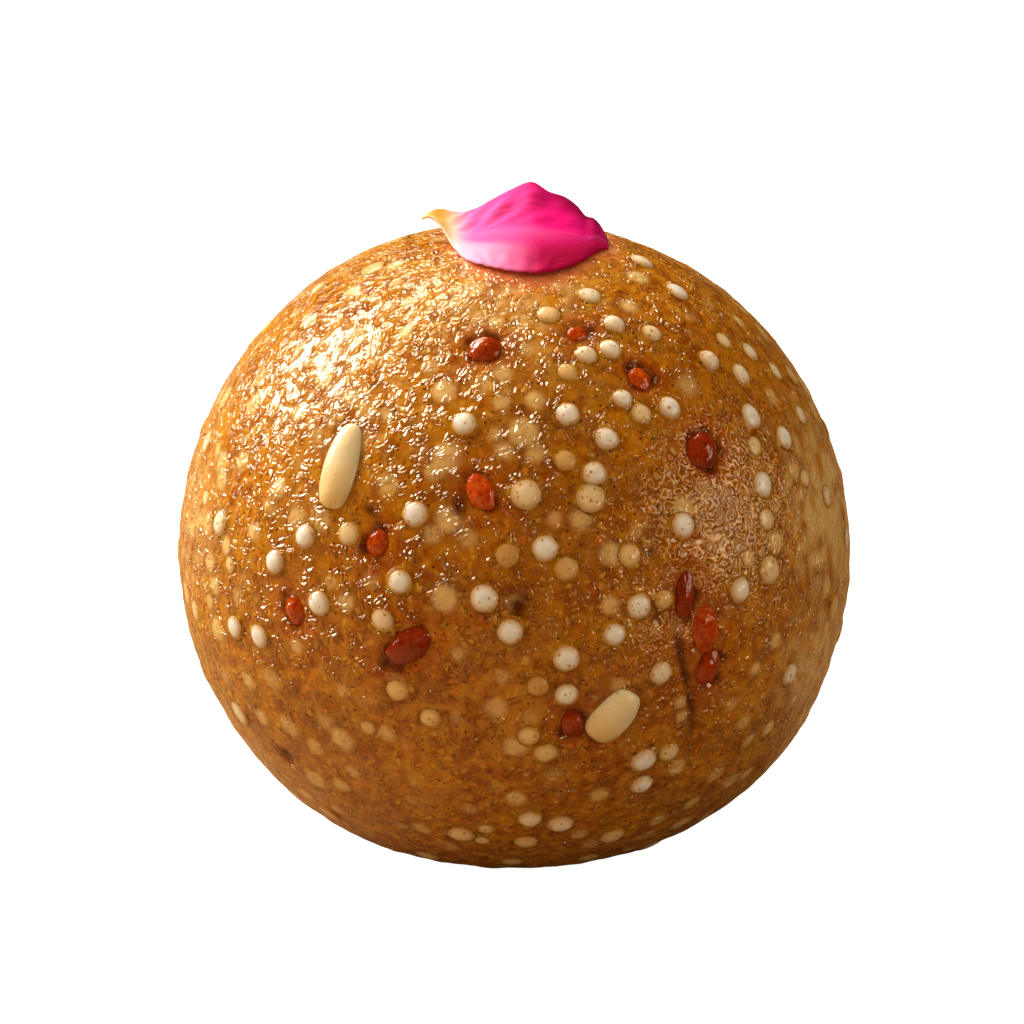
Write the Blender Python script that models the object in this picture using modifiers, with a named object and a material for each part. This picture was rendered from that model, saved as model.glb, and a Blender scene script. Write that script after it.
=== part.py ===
"""A fenugreek ladoo: a ball of sweet dough rolled in the palm, set with sago pearls, melon-seed
kernels and bits of red dried fruit, with a rose petal laid on top.

Metres, +Z up. The origin is the middle of the flat spot that the ball rests on. The side that
shows best faces -Y, and what is set in it is placed as a viewer sees it who looks down on the
ball by VIEW_ANGLE: millimetres across and millimetres up from the middle of the ball.
"""

import math
import random

import bmesh
import bpy
from mathutils import Matrix, Vector, noise

MM = 0.001

# The ball: a sphere that has slumped a little and been pressed flat underneath.
BALL_WIDTH = 50.0 * MM
BALL_RADIUS = BALL_WIDTH / 2
CENTRE_HEIGHT = 22.4 * MM
PRESS_DEPTH = 23.8 * MM
PRESS_ROUNDING = 2.4 * MM
SLUMP = 0.008
LUMP_HEIGHT = 0.18 * MM
LUMPS_PER_RADIUS = 2.3
LUMP_OFFSET = Vector((3.1, 7.7, 1.9))
BALL_CUTS = 12

# Palm marks: flat places and swellings, as (across, up, reach, height).
PALM_MARKS = (
    (0.0, 24.4, 13.0, -0.60),
    (-15.0, -17.0, 12.0, -0.45),
    (14.0, 11.0, 11.0, 0.15),
    (20.3, -15.0, 8.0, 0.40),
    (13.2, -12.0, 4.5, -0.25),
)

# The viewer that the placed pieces are laid out for
VIEW_ANGLE = math.radians(18)
VIEW_DISTANCE = 500.0 * MM
TO_RIGHT = Vector((1, 0, 0))
TO_TOP = Vector((0, math.sin(VIEW_ANGLE), math.cos(VIEW_ANGLE)))
TO_VIEWER = Vector((0, -math.cos(VIEW_ANGLE), math.sin(VIEW_ANGLE)))

# Gap left between touching pieces
GAP = 0.3 * MM

# Sago pearls, flattened a little by the palm. Each is (across, up, width).
PROUD_PEARLS = (
    (-3.7, 9.4, 2.0), (4.0, 10.1, 2.0), (6.9, 8.3, 2.0), (8.1, 11.3, 1.7), (11.6, 10.6, 2.0),
    (7.5, 16.9, 1.9), (7.2, 15.0, 1.9), (5.4, 14.6, 1.8), (14.5, 14.1, 2.0), (0.9, 4.1, 2.5),
    (6.0, 5.7, 2.0), (12.6, 1.8, 2.1), (-7.4, 2.7, 2.1), (-15.6, 1.0, 2.0), (-17.9, -0.9, 2.0),
    (-8.5, -2.4, 2.0), (-14.6, -4.0, 2.1), (-2.2, -3.6, 2.3), (2.3, 0.1, 2.1), (-0.3, -6.1, 2.1),
    (3.9, -8.1, 2.2), (3.9, -10.8, 1.9), (7.5, -6.3, 1.9), (9.3, -4.2, 2.1), (16.9, -3.0, 2.1),
    (9.7, -15.8, 2.3), (9.6, -17.6, 2.0), (1.2, -20.3, 2.0), (3.5, -20.7, 2.2),
)
SUNK_PEARLS = (
    (9.5, 10.2, 1.8), (2.6, 17.7, 1.9), (5.7, 19.2, 2.0), (10.3, 16.2, 1.7), (12.2, 19.3, 2.1),
    (9.6, 21.7, 2.1), (16.9, 13.1, 2.0), (17.7, 10.0, 2.2), (18.6, 4.9, 2.2), (20.2, 8.4, 2.1),
    (5.7, 3.9, 2.4), (3.8, 6.7, 1.7), (4.0, 13.3, 1.6), (-9.8, -5.2, 1.9), (1.8, -10.2, 1.7),
    (11.2, -3.7, 1.6), (8.6, -0.4, 1.9), (3.9, -1.4, 1.9), (-0.5, -0.4, 1.9), (19.1, -1.5, 2.4),
    (20.6, -9.3, 2.1), (1.1, -14.0, 1.8), (2.4, -15.3, 1.9), (-6.3, -12.6, 1.7), (-8.7, -10.5, 1.9),
    (-4.0, -21.5, 2.2), (0.9, -22.1, 2.0), (-12.4, 1.2, 1.9), (-19.2, -6.5, 2.1), (-21.0, -5.8, 2.0),
    (-22.0, 2.0, 2.1), (7.4, -21.7, 2.2), (11.0, -9.2, 2.0), (11.6, -15.2, 1.9),
)
PROUD_HEIGHT = 0.30 * MM
SUNK_HEIGHT = 0.18 * MM
PEARL_SHOWS = 0.5
PEARL_SIDES = 7
PEARL_RINGS = 5
# The rest of the pearls lie where the viewer doesn't look, at even but random spacing.
SPREAD_SEED = 41
SPREAD_PEARLS = 58
SPREAD_SPACING = 5.6 * MM
SPREAD_TRIES = 6000
PEARLS_HIDDEN = 0.36
PIECES_HIDDEN = -0.20

# Melon-seed kernels, as (across, up, turn, length, width, squareness, taper).
# The turn is clockwise from upright, as the viewer sees it.
KERNELS = (
    (-13.0, 6.3, 12, 7.0, 2.9, 0.0, 0.28),
    (7.5, -12.5, 32, 4.5, 2.6, 0.55, -0.08),
)
KERNELS_BEHIND = 3
KERNEL_LENGTH = 6.6
KERNEL_WIDTH = 3.0
KERNEL_THICKNESS = 0.72
KERNEL_SINK = 0.34 * MM

# Bits of red dried fruit, as (across, up, turn, length, width, sink).
FRUIT_BITS = (
    (-2.2, 15.1, 80, 2.5, 2.3, 0.45),
    (-2.5, 4.4, -28, 3.0, 2.0, 0.40),
    (14.2, 7.5, 20, 3.0, 2.7, 0.60),
    (-8.0, -7.3, 58, 4.0, 2.4, 0.55),
    (13.0, -3.4, 0, 3.8, 1.7, 0.70),
    (14.5, -6.0, -12, 3.2, 2.2, 0.40),
    (14.8, -8.9, 6, 2.6, 2.0, 0.55),
    (4.45, -13.3, -20, 2.0, 1.5, 0.55),
    (9.5, 13.0, -20, 2.0, 1.8, 0.60),
    (4.8, 16.4, 70, 1.8, 1.5, 0.55),
    (-10.4, 0.5, 15, 2.2, 1.8, 0.65),
    (-16.7, -4.6, -8, 2.4, 1.8, 0.60),
)
FRUIT_BEHIND = 7
FRUIT_LENGTH = 3.0
FRUIT_WIDTH = 2.1
FRUIT_SINK = 0.55
FRUIT_THICKNESS = 0.8
FRUIT_WRINKLE = 0.13

# The split in the dough beside the red fruit, as (across, up, half width) along its line
SPLIT = (
    (12.2, -4.6, 0.10), (12.3, -6.6, 0.32), (12.7, -8.2, 0.36), (13.2, -10.2, 0.42),
    (13.5, -12.0, 0.34), (13.4, -14.0, 0.24), (13.1, -16.4, 0.08),
)

# The rose petal, from its claw on the left to its lobes on the right. Each station is
# (x, near y, near lift, far y, far lift), with the lifts measured from the ball's skin.
PETAL_STATIONS = (
    (-6.60, 0.5, 1.45, 1.0, 1.35),
    (-6.30, 0.2, 1.40, 1.3, 1.40),
    (-5.80, -0.2, 1.10, 1.5, 1.45),
    (-5.20, -1.1, 0.50, 1.7, 1.30),
    (-4.60, -2.9, 0.05, 1.9, 1.10),
    (-3.80, -5.1, 0.00, 2.4, 0.90),
    (-2.80, -6.4, 0.00, 3.2, 1.05),
    (-1.60, -7.2, 0.00, 4.0, 1.45),
    (-0.20, -7.8, 0.00, 4.7, 2.05),
    (1.30, -8.0, 0.00, 5.0, 2.55),
    (2.60, -7.6, 0.00, 4.8, 2.05),
    (3.80, -6.6, 0.00, 4.4, 1.80),
    (4.70, -5.6, 0.00, 3.9, 1.30),
    (5.30, -4.6, 0.00, 3.5, 0.70),
    (5.90, -3.2, 0.00, 3.2, 0.75),
    (6.40, -2.2, 0.00, 2.8, 0.50),
    (6.95, -1.5, 0.00, 0.2, 0.10),
)
PETAL_THICKNESS = 0.34 * MM
PETAL_RISE = 1.9
PETAL_STEPS_LONG = 24
PETAL_STEPS_ACROSS = 10
PETAL_WAVE = 0.12 * MM
PETAL_KEEP_OUT = 9.2 * MM

# Colours: (red, green, blue), roughness
DOUGH_FINISH = ((0.42, 0.19, 0.045), 0.28)
KERNEL_FINISH = ((0.72, 0.55, 0.28), 0.38)
FRUIT_FINISH = ((0.30, 0.035, 0.012), 0.25)
PETAL_FINISH = ((0.82, 0.03, 0.28), 0.45)


def clear_scene():
    for thing in list(bpy.data.objects):
        bpy.data.objects.remove(thing, do_unlink=True)


def new_collection(name):
    made = bpy.data.collections.new(name)
    bpy.context.scene.collection.children.link(made)
    return made


def material(name, finish):
    colour, roughness = finish
    made = bpy.data.materials.new(name)
    made.use_nodes = True
    shader = made.node_tree.nodes["Principled BSDF"]
    shader.inputs["Base Color"].default_value = (*colour, 1)
    shader.inputs["Roughness"].default_value = roughness
    shader.inputs["Metallic"].default_value = 0
    return made


def add_object(name, mesh_builder, collection, finish=None):
    """A named object of the mesh that a bmesh holds, which is then freed."""
    mesh = bpy.data.meshes.new(name)
    mesh_builder.to_mesh(mesh)
    mesh_builder.free()
    made = bpy.data.objects.new(name, mesh)
    collection.objects.link(made)
    if finish:
        mesh.materials.append(finish)
    mesh.shade_smooth()
    return made


def seen_at(across, up):
    """The direction from the ball's centre to the place that the viewer sees there, in mm."""
    eye = TO_VIEWER * VIEW_DISTANCE
    ray = ((TO_RIGHT * across + TO_TOP * up) * MM - eye).normalized()
    abreast = -eye.dot(ray)
    missed_by = eye.length_squared - abreast * abreast
    reached = abreast - math.sqrt(max(0.0, BALL_RADIUS**2 - missed_by))
    return (eye + ray * reached).normalized()


def softened(value):
    """Zero well below zero, the value itself well above it, and a smooth turn between."""
    return math.log1p(math.exp(value))


def skin(direction):
    """The point of the ball's skin in this direction from its centre, in the part's frame."""
    radius = BALL_RADIUS
    radius += LUMP_HEIGHT * noise.noise(direction * LUMPS_PER_RADIUS + LUMP_OFFSET)
    for across, up, reach, height in PALM_MARKS:
        away = (direction - seen_at(across, up)).length * BALL_RADIUS / (reach * MM)
        radius += height * MM * math.exp(-2 * away * away)
    if direction.z < 0:
        latitude = math.asin(max(-1.0, direction.z))
        radius -= BALL_RADIUS * SLUMP * math.sin(2 * latitude) ** 2
    point = direction * radius
    point.z = PRESS_ROUNDING * softened((point.z + PRESS_DEPTH) / PRESS_ROUNDING) - PRESS_DEPTH
    return point + Vector((0, 0, CENTRE_HEIGHT))


def skin_above(x, y):
    """The height of the ball's skin over this place on the table, near the top of the ball."""
    direction = Vector((x, y, math.sqrt(BALL_RADIUS**2 - x * x - y * y))).normalized()
    return skin(direction).z


def ball_builder():
    """The ball's skin: a finely cut cube blown up to the skin, with the flat spot cut off."""
    made = bmesh.new()
    bmesh.ops.create_cube(made, size=2)
    bmesh.ops.subdivide_edges(made, edges=made.edges[:], cuts=BALL_CUTS, use_grid_fill=True)
    for vertex in made.verts:
        # A tangent spacing makes the squares of the blown-up cube nearly equal.
        eased = Vector(math.tan(part * math.pi / 4) for part in vertex.co)
        vertex.co = skin(eased.normalized())
    everything = made.verts[:] + made.edges[:] + made.faces[:]
    cut = bmesh.ops.bisect_plane(
        made, geom=everything, plane_co=(0, 0, 0), plane_no=(0, 0, 1), clear_inner=True
    )
    rim = [part for part in cut["geom_cut"] if isinstance(part, bmesh.types.BMEdge)]
    bmesh.ops.edgeloop_fill(made, edges=rim)
    bmesh.ops.recalc_face_normals(made, faces=made.faces[:])
    return made


def set_on_skin(direction, turn, sink):
    """The frame of a piece set in the skin: X across it, Y along it and Z out of the ball."""
    out = direction
    along = (TO_TOP - out * TO_TOP.dot(out)).normalized()
    along = Matrix.Rotation(-turn, 3, out) @ along
    side = along.cross(out)
    frame = Matrix((side, along, out)).transposed().to_4x4()
    frame.translation = skin(direction) - out * sink
    return frame


def pearl_builder(direction, width, height):
    """A sago pearl that stands out of the skin by height and shows as a disc of that width."""
    # An ellipsoid cut at a share of its half height shows sqrt(1 - share^2) of its half width.
    half_height = height / (1 - PEARL_SHOWS)
    half_width = width / 2 / math.sqrt(1 - PEARL_SHOWS**2)
    made = bmesh.new()
    bmesh.ops.create_uvsphere(made, u_segments=PEARL_SIDES, v_segments=PEARL_RINGS, radius=1)
    poles = [vertex for vertex in made.verts if abs(vertex.co.z) > 0.999]
    bmesh.ops.dissolve_verts(made, verts=poles)
    bmesh.ops.scale(made, vec=(half_width, half_width, half_height), verts=made.verts[:])
    frame = set_on_skin(direction, 0, half_height - height)
    bmesh.ops.transform(made, matrix=frame, verts=made.verts[:])
    return made


def kernel_builder(length, width, squareness, taper, grow=0.0):
    """A seed kernel along Y: a flattened drop, or a squared bar where squareness is over 0."""
    made = bmesh.new()
    bmesh.ops.create_uvsphere(made, u_segments=10, v_segments=8, radius=1)
    bmesh.ops.rotate(made, matrix=Matrix.Rotation(math.pi / 2, 3, "X"), verts=made.verts[:])
    half = Vector((width, length, width * KERNEL_THICKNESS)) * MM / 2
    half += Vector((grow, grow, grow))
    for vertex in made.verts:
        x, y, z = vertex.co
        end = math.sqrt(max(0.0, 1 - y * y))
        # A squared bar keeps most of its width up to its ends.
        fuller = end ** (1 - squareness) if end > 0 else 0.0
        widen = fuller / end if end > 0 else 1.0
        slim = 1 - taper * y
        vertex.co = Vector((x * widen * slim * half.x, y * half.y, z * widen * slim * half.z))
    return made


def fruit_builder(length, width, number, grow=0.0):
    """A wrinkled bit of dried fruit along Y."""
    made = bmesh.new()
    bmesh.ops.create_icosphere(made, subdivisions=2, radius=1)
    half = Vector((width, length, width * FRUIT_THICKNESS)) * MM / 2
    half += Vector((grow, grow, grow))
    for vertex in made.verts:
        crease = noise.noise(vertex.co * 1.7 + Vector((number * 5.3, 0, 0)))
        shaped = vertex.co * (1 + FRUIT_WRINKLE * crease)
        vertex.co = Vector(a * b for a, b in zip(shaped, half))
    return made


def unseen_directions(generator):
    """Random directions off the flat spot and off the petal, each with how much it faces the viewer."""
    highest = skin(Vector((0, 0, 1))).z
    for _ in range(SPREAD_TRIES):
        direction = Vector(generator.gauss(0, 1) for _ in range(3)).normalized()
        point = skin(direction)
        if point.z < 2.2 * MM or (point - Vector((0, 0, highest))).length < PETAL_KEEP_OUT:
            continue
        yield direction, direction.dot(TO_VIEWER)


def clear_of(direction, taken, spacing):
    return all((direction - other).length * BALL_RADIUS > spacing + room for other, room in taken)


def sites():
    """Where everything in the dough lies: the pearls, kernels and fruit bits, as lists of rows."""
    generator = random.Random(SPREAD_SEED)
    kernels = [(seen_at(a, u), *rest) for a, u, *rest in KERNELS]
    fruit = [(seen_at(a, u), *rest) for a, u, *rest in FRUIT_BITS]
    pearls = [(seen_at(a, u), w * MM, PROUD_HEIGHT) for a, u, w in PROUD_PEARLS]
    pearls += [(seen_at(a, u), w * MM, SUNK_HEIGHT) for a, u, w in SUNK_PEARLS]
    taken = [(row[0], 2.0 * MM) for row in kernels]
    taken += [(row[0], 1.0 * MM) for row in fruit]
    taken += [(row[0], 0.0) for row in pearls]
    for direction, facing in unseen_directions(generator):
        if len(kernels) < len(KERNELS) + KERNELS_BEHIND:
            if facing < PIECES_HIDDEN and clear_of(direction, taken, 13 * MM):
                turn = generator.uniform(0, 180)
                kernels.append((direction, turn, KERNEL_LENGTH, KERNEL_WIDTH, 0.1, 0.25))
                taken.append((direction, 2.0 * MM))
        elif len(fruit) < len(FRUIT_BITS) + FRUIT_BEHIND:
            if facing < PIECES_HIDDEN and clear_of(direction, taken, 8.5 * MM):
                turn = generator.uniform(0, 180)
                size = generator.uniform(0.75, 1.25)
                row = (direction, turn, FRUIT_LENGTH * size, FRUIT_WIDTH * size, FRUIT_SINK)
                fruit.append(row)
                taken.append((direction, 1.0 * MM))
        elif len(pearls) < len(PROUD_PEARLS) + len(SUNK_PEARLS) + SPREAD_PEARLS:
            if facing < PEARLS_HIDDEN and clear_of(direction, taken, SPREAD_SPACING - 1.5 * MM):
                height = generator.choice((PROUD_HEIGHT, SUNK_HEIGHT))
                pearls.append((direction, generator.uniform(1.7, 2.4) * MM, height))
                taken.append((direction, 0.6 * MM))
    return pearls, kernels, fruit


def split_builder():
    """A thin tapered wedge along the split's line, sunk in the skin."""
    made = bmesh.new()
    rings = []
    for across, up, half_width in SPLIT:
        direction = seen_at(across, up)
        frame = set_on_skin(direction, 0, 0)
        depth = half_width * 1.7
        ring = []
        for x, z in ((-half_width, 0.5), (0, -depth), (half_width, 0.5)):
            ring.append(made.verts.new(frame @ Vector((x * MM, 0, z * MM))))
        rings.append(ring)
    for above, below in zip(rings, rings[1:]):
        for i in range(3):
            j = (i + 1) % 3
            made.faces.new((above[i], above[j], below[j], below[i]))
    made.faces.new(rings[0])
    made.faces.new(rings[-1])
    bmesh.ops.triangulate(made, faces=made.faces[:])
    bmesh.ops.recalc_face_normals(made, faces=made.faces[:])
    return made


def combine(target, helpers, operation):
    """One Boolean of the target with a whole collection, which is then removed."""
    modifier = target.modifiers.new(operation.title(), "BOOLEAN")
    modifier.operation = operation
    modifier.operand_type = "COLLECTION"
    modifier.collection = helpers
    modifier.solver = "MANIFOLD"
    bpy.context.view_layer.update()
    joined = target.evaluated_get(bpy.context.evaluated_depsgraph_get())
    mesh = bpy.data.meshes.new_from_object(joined)
    target.modifiers.remove(modifier)
    target.data = mesh
    for helper in list(helpers.objects):
        bpy.data.objects.remove(helper, do_unlink=True)
    bpy.data.collections.remove(helpers)


def make_ball(collection, finish, pearls, pockets):
    ball = add_object("ladoo_ball", ball_builder(), collection, finish)
    combine(ball, pockets, "DIFFERENCE")
    toppings = new_collection("pearls")
    for number, (direction, width, height) in enumerate(pearls):
        add_object(f"pearl_{number}", pearl_builder(direction, width, height), toppings)
    combine(ball, toppings, "UNION")
    return ball


def make_kernels(collection, finish, kernels, pockets):
    for number, (direction, turn, *shape) in enumerate(kernels, 1):
        name = f"seed_kernel_{number}"
        frame = set_on_skin(direction, math.radians(turn), KERNEL_SINK)
        kernel = add_object(name, kernel_builder(*shape), collection, finish)
        kernel.matrix_world = frame
        pocket = add_object(f"{name}_pocket", kernel_builder(*shape, grow=GAP), pockets)
        pocket.matrix_world = frame


def make_fruit(collection, finish, fruit, pockets):
    for number, (direction, turn, length, width, sink) in enumerate(fruit, 1):
        name = f"fruit_bit_{number}"
        frame = set_on_skin(direction, math.radians(turn), sink * MM)
        bit = add_object(name, fruit_builder(length, width, number), collection, finish)
        bit.matrix_world = frame
        shape = fruit_builder(length, width, number, grow=GAP)
        pocket = add_object(f"{name}_pocket", shape, pockets)
        pocket.matrix_world = frame


def petal_row(place):
    """The petal's station at a place along it, from 0 to 1, on a smooth curve through them all."""
    last = len(PETAL_STATIONS) - 1
    index = min(int(place * last), last - 1)
    share = place * last - index
    rows = [PETAL_STATIONS[min(max(index + step, 0), last)] for step in (-1, 0, 1, 2)]
    square, cube = share * share, share**3
    weights = (
        (-cube + 2 * square - share) / 2,
        (3 * cube - 5 * square + 2) / 2,
        (-3 * cube + 4 * square + share) / 2,
        (cube - square) / 2,
    )
    return [sum(w * row[i] for w, row in zip(weights, rows)) * MM for i in range(5)]


def petal_point(place, side):
    """The underside of the petal: place runs from claw to lobes, side from near to far edge."""
    x, near_y, near_lift, far_y, far_lift = petal_row(place)
    y = near_y + (far_y - near_y) * side
    lift = near_lift * (1 - side) ** PETAL_RISE + far_lift * side**PETAL_RISE
    wave = PETAL_WAVE * math.sin(11 * place + 5 * side) * side
    return Vector((x, y, skin_above(x, y) + GAP + lift + wave))


def make_petal(collection, finish):
    """A thin wavy sheet that lies on the front of the ball's top and lifts off it behind."""
    made = bmesh.new()
    grid = []
    for i in range(PETAL_STEPS_LONG + 1):
        place = i / PETAL_STEPS_LONG
        row = [petal_point(place, j / PETAL_STEPS_ACROSS) for j in range(PETAL_STEPS_ACROSS + 1)]
        grid.append([made.verts.new(point) for point in row])
    for left, right in zip(grid, grid[1:]):
        for j in range(PETAL_STEPS_ACROSS):
            made.faces.new((left[j], right[j], right[j + 1], left[j + 1]))
    bmesh.ops.triangulate(made, faces=made.faces[:])
    petal = add_object("rose_petal", made, collection, finish)
    solidify = petal.modifiers.new("Thickness", "SOLIDIFY")
    solidify.thickness = PETAL_THICKNESS
    solidify.offset = 1
    return petal


def main():
    clear_scene()
    collection = new_collection("fenugreek_ladoo")
    pockets = new_collection("pockets")
    pearls, kernels, fruit = sites()
    make_kernels(collection, material("kernel", KERNEL_FINISH), kernels, pockets)
    make_fruit(collection, material("red_fruit", FRUIT_FINISH), fruit, pockets)
    add_object("split_pocket", split_builder(), pockets)
    make_ball(collection, material("dough", DOUGH_FINISH), pearls, pockets)
    make_petal(collection, material("petal", PETAL_FINISH))


main()
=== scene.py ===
"""The looks of a fenugreek ladoo: syrupy dough, sago pearls, seed kernels, red fruit and a petal.

Metres, +Z up, in the frame of the solids: the ball stands on the origin and its best side faces
-Y. Places on it are given as the viewer sees them, in millimetres across and up from its middle.
"""

import math
import random

import bmesh
import bpy
import numpy as np
from mathutils import Matrix, Vector, noise


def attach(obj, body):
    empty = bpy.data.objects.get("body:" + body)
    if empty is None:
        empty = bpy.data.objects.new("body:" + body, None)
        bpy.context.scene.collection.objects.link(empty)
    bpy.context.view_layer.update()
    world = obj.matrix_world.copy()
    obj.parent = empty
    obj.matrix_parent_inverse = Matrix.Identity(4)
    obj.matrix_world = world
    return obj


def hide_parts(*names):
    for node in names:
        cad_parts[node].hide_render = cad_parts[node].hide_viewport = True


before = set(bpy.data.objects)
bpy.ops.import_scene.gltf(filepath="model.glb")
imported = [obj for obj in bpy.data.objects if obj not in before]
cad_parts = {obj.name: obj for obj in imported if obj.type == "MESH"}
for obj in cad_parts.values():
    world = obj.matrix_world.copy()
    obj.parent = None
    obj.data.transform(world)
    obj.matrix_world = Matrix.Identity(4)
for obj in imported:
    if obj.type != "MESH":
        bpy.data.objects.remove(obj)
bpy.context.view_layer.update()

MM = 0.001

# The ball, as in the solids: a sphere that has slumped a little and been pressed flat underneath
BALL_WIDTH = 50.0 * MM
BALL_RADIUS = BALL_WIDTH / 2
CENTRE_HEIGHT = 22.4 * MM
PRESS_DEPTH = 23.8 * MM
PRESS_ROUNDING = 2.4 * MM
SLUMP = 0.008
LUMP_HEIGHT = 0.18 * MM
LUMPS_PER_RADIUS = 2.3
LUMP_OFFSET = Vector((3.1, 7.7, 1.9))
BALL_CUTS = 127

# Palm marks: flat places and swellings, as (across, up, reach, height)
PALM_MARKS = (
    (0.0, 24.4, 13.0, -0.60),
    (-15.0, -17.0, 12.0, -0.45),
    (14.0, 11.0, 11.0, 0.15),
    (20.3, -15.0, 8.0, 0.40),
    (13.2, -12.0, 4.5, -0.25),
)

# The viewer that the placed pieces are laid out for
VIEW_ANGLE = math.radians(18)
VIEW_DISTANCE = 500.0 * MM
TO_RIGHT = Vector((1, 0, 0))
TO_TOP = Vector((0, math.sin(VIEW_ANGLE), math.cos(VIEW_ANGLE)))
TO_VIEWER = Vector((0, -math.cos(VIEW_ANGLE), math.sin(VIEW_ANGLE)))
CENTRE = Vector((0, 0, CENTRE_HEIGHT))

# Sago pearls that stand out of the dough, as (across, up, width, whiteness)
PROUD_PEARLS = (
    (-3.7, 9.4, 2.0, 0.95), (4.0, 10.1, 2.0, 0.90), (6.9, 8.3, 2.0, 0.90),
    (8.1, 11.3, 1.7, 0.85), (11.6, 10.6, 2.0, 0.85), (7.5, 16.9, 1.9, 0.70),
    (7.2, 15.0, 1.9, 0.75), (5.4, 14.6, 1.8, 0.70), (14.5, 14.1, 2.0, 0.70),
    (0.9, 4.1, 2.5, 0.64), (6.0, 5.7, 2.0, 0.75), (12.6, 1.8, 2.1, 1.00),
    (-7.4, 2.7, 2.1, 1.00), (-15.6, 1.0, 2.0, 0.90), (-17.9, -0.9, 2.0, 0.90),
    (-8.5, -2.4, 2.0, 0.90), (-14.6, -4.0, 2.1, 0.85), (-2.2, -3.6, 2.3, 0.95),
    (2.3, 0.1, 2.1, 1.00), (-0.3, -6.1, 2.1, 1.00), (3.9, -8.1, 2.2, 1.00),
    (3.9, -10.8, 1.9, 0.95), (7.5, -6.3, 1.9, 0.95), (9.3, -4.2, 2.1, 0.85),
    (16.9, -3.0, 2.1, 0.75), (9.7, -15.8, 2.3, 0.90), (9.6, -17.6, 2.0, 0.80),
    (1.2, -20.3, 2.0, 0.70), (3.5, -20.7, 2.2, 0.70),
)
SUNK_PEARLS = (
    (9.5, 10.2, 1.8, 0.60), (2.6, 17.7, 1.9, 0.55), (5.7, 19.2, 2.0, 0.70),
    (10.3, 16.2, 1.7, 0.65), (12.2, 19.3, 2.1, 0.80), (9.6, 21.7, 2.1, 0.70),
    (16.9, 13.1, 2.0, 0.70), (17.7, 10.0, 2.2, 0.85), (18.6, 4.9, 2.2, 0.85),
    (20.2, 8.4, 2.1, 0.80), (5.7, 3.9, 2.4, 0.60), (3.8, 6.7, 1.7, 0.30),
    (4.0, 13.3, 1.6, 0.40), (-9.8, -5.2, 1.9, 0.65), (1.8, -10.2, 1.7, 0.20),
    (11.2, -3.7, 1.6, 0.35), (8.6, -0.4, 1.9, 0.50), (3.9, -1.4, 1.9, 0.30),
    (-0.5, -0.4, 1.9, 0.18), (19.1, -1.5, 2.4, 0.60), (20.6, -9.3, 2.1, 0.75),
    (1.1, -14.0, 1.8, 0.50), (2.4, -15.3, 1.9, 0.50), (-6.3, -12.6, 1.7, 0.50),
    (-8.7, -10.5, 1.9, 0.42), (-4.0, -21.5, 2.2, 0.60), (0.9, -22.1, 2.0, 0.50),
    (-12.4, 1.2, 1.9, 0.60), (-19.2, -6.5, 2.1, 0.80), (-21.0, -5.8, 2.0, 0.85),
    (-22.0, 2.0, 2.1, 0.70), (7.4, -21.7, 2.2, 0.60), (11.0, -9.2, 2.0, 0.70),
    (11.6, -15.2, 1.9, 0.60),
)
# Small flat pearls, too low for the solids
FLUSH_PEARLS = (
    (19.5, 13.4, 1.7, 0.70), (15.6, 15.6, 1.6, 0.60), (17.6, 14.8, 1.8, 0.70),
    (21.4, 10.1, 1.7, 0.70), (21.8, 5.4, 1.5, 0.60), (18.9, 2.3, 1.8, 0.60),
    (18.0, 7.8, 1.6, 0.60), (-11.0, -13.4, 1.3, 0.35), (-2.1, -21.1, 1.3, 0.55),
    (-2.4, -22.0, 1.3, 0.55), (19.1, -13.4, 1.6, 0.50), (-21.3, -1.1, 1.3, 0.50),
    (-23.1, 3.9, 1.3, 0.60),
)
PROUD_HEIGHT = 0.50 * MM
SUNK_HEIGHT = 0.30 * MM
FLUSH_HEIGHT = 0.12 * MM
# How far a pearl's middle lies under the skin, as a share of its half height
PEARL_SUNK = 0.38
PEARL_SIDES = 28
PEARL_RINGS = 9
PEARL_UNEVEN = 0.08
# The radius where a dome meets the dough, as a share of its width, and the share of its height
# that the syrup climbs
PEARL_RIM = 0.46
PEARL_CLIMB = 0.20
# The collar of syrup: its width, where its rings lie across it, and how far its edge is sunk
PEARL_COLLAR = 0.22 * MM
COLLAR_RINGS = (0.2, 0.45, 0.75, 1.0)
COLLAR_SINK = 0.035 * MM
PEARL_ROOT = 0.35 * MM
# The rest of the pearls lie where the viewer doesn't look, at even but random spacing.
SPREAD_SEED = 41
SPREAD_PEARLS = 58
SPREAD_SPACING = 4.1 * MM
SPREAD_WIDTHS = (1.7, 2.4)
SPREAD_TONES = (0.3, 1.0)
SPREAD_TRIES = 6000
TONE_SEED = 7
# How far towards the viewer a direction may point where pearls or larger pieces are added
PEARLS_HIDDEN = 0.36
PIECES_HIDDEN = -0.20
# Added pearls that would show on the outline lie flatter.
RIM_FACING = -0.25
# The room that each kind keeps round itself, and how far apart added kernels and fruit lie
KERNEL_ROOM = 2.0 * MM
FRUIT_ROOM = 1.0 * MM
PEARL_ROOM = 0.6 * MM
KERNEL_SPACING = 13 * MM
FRUIT_SPACING = 8.5 * MM
# Nothing is added lower than this, beside the flat spot.
LOWEST_ADDED = 2.2 * MM

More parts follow.
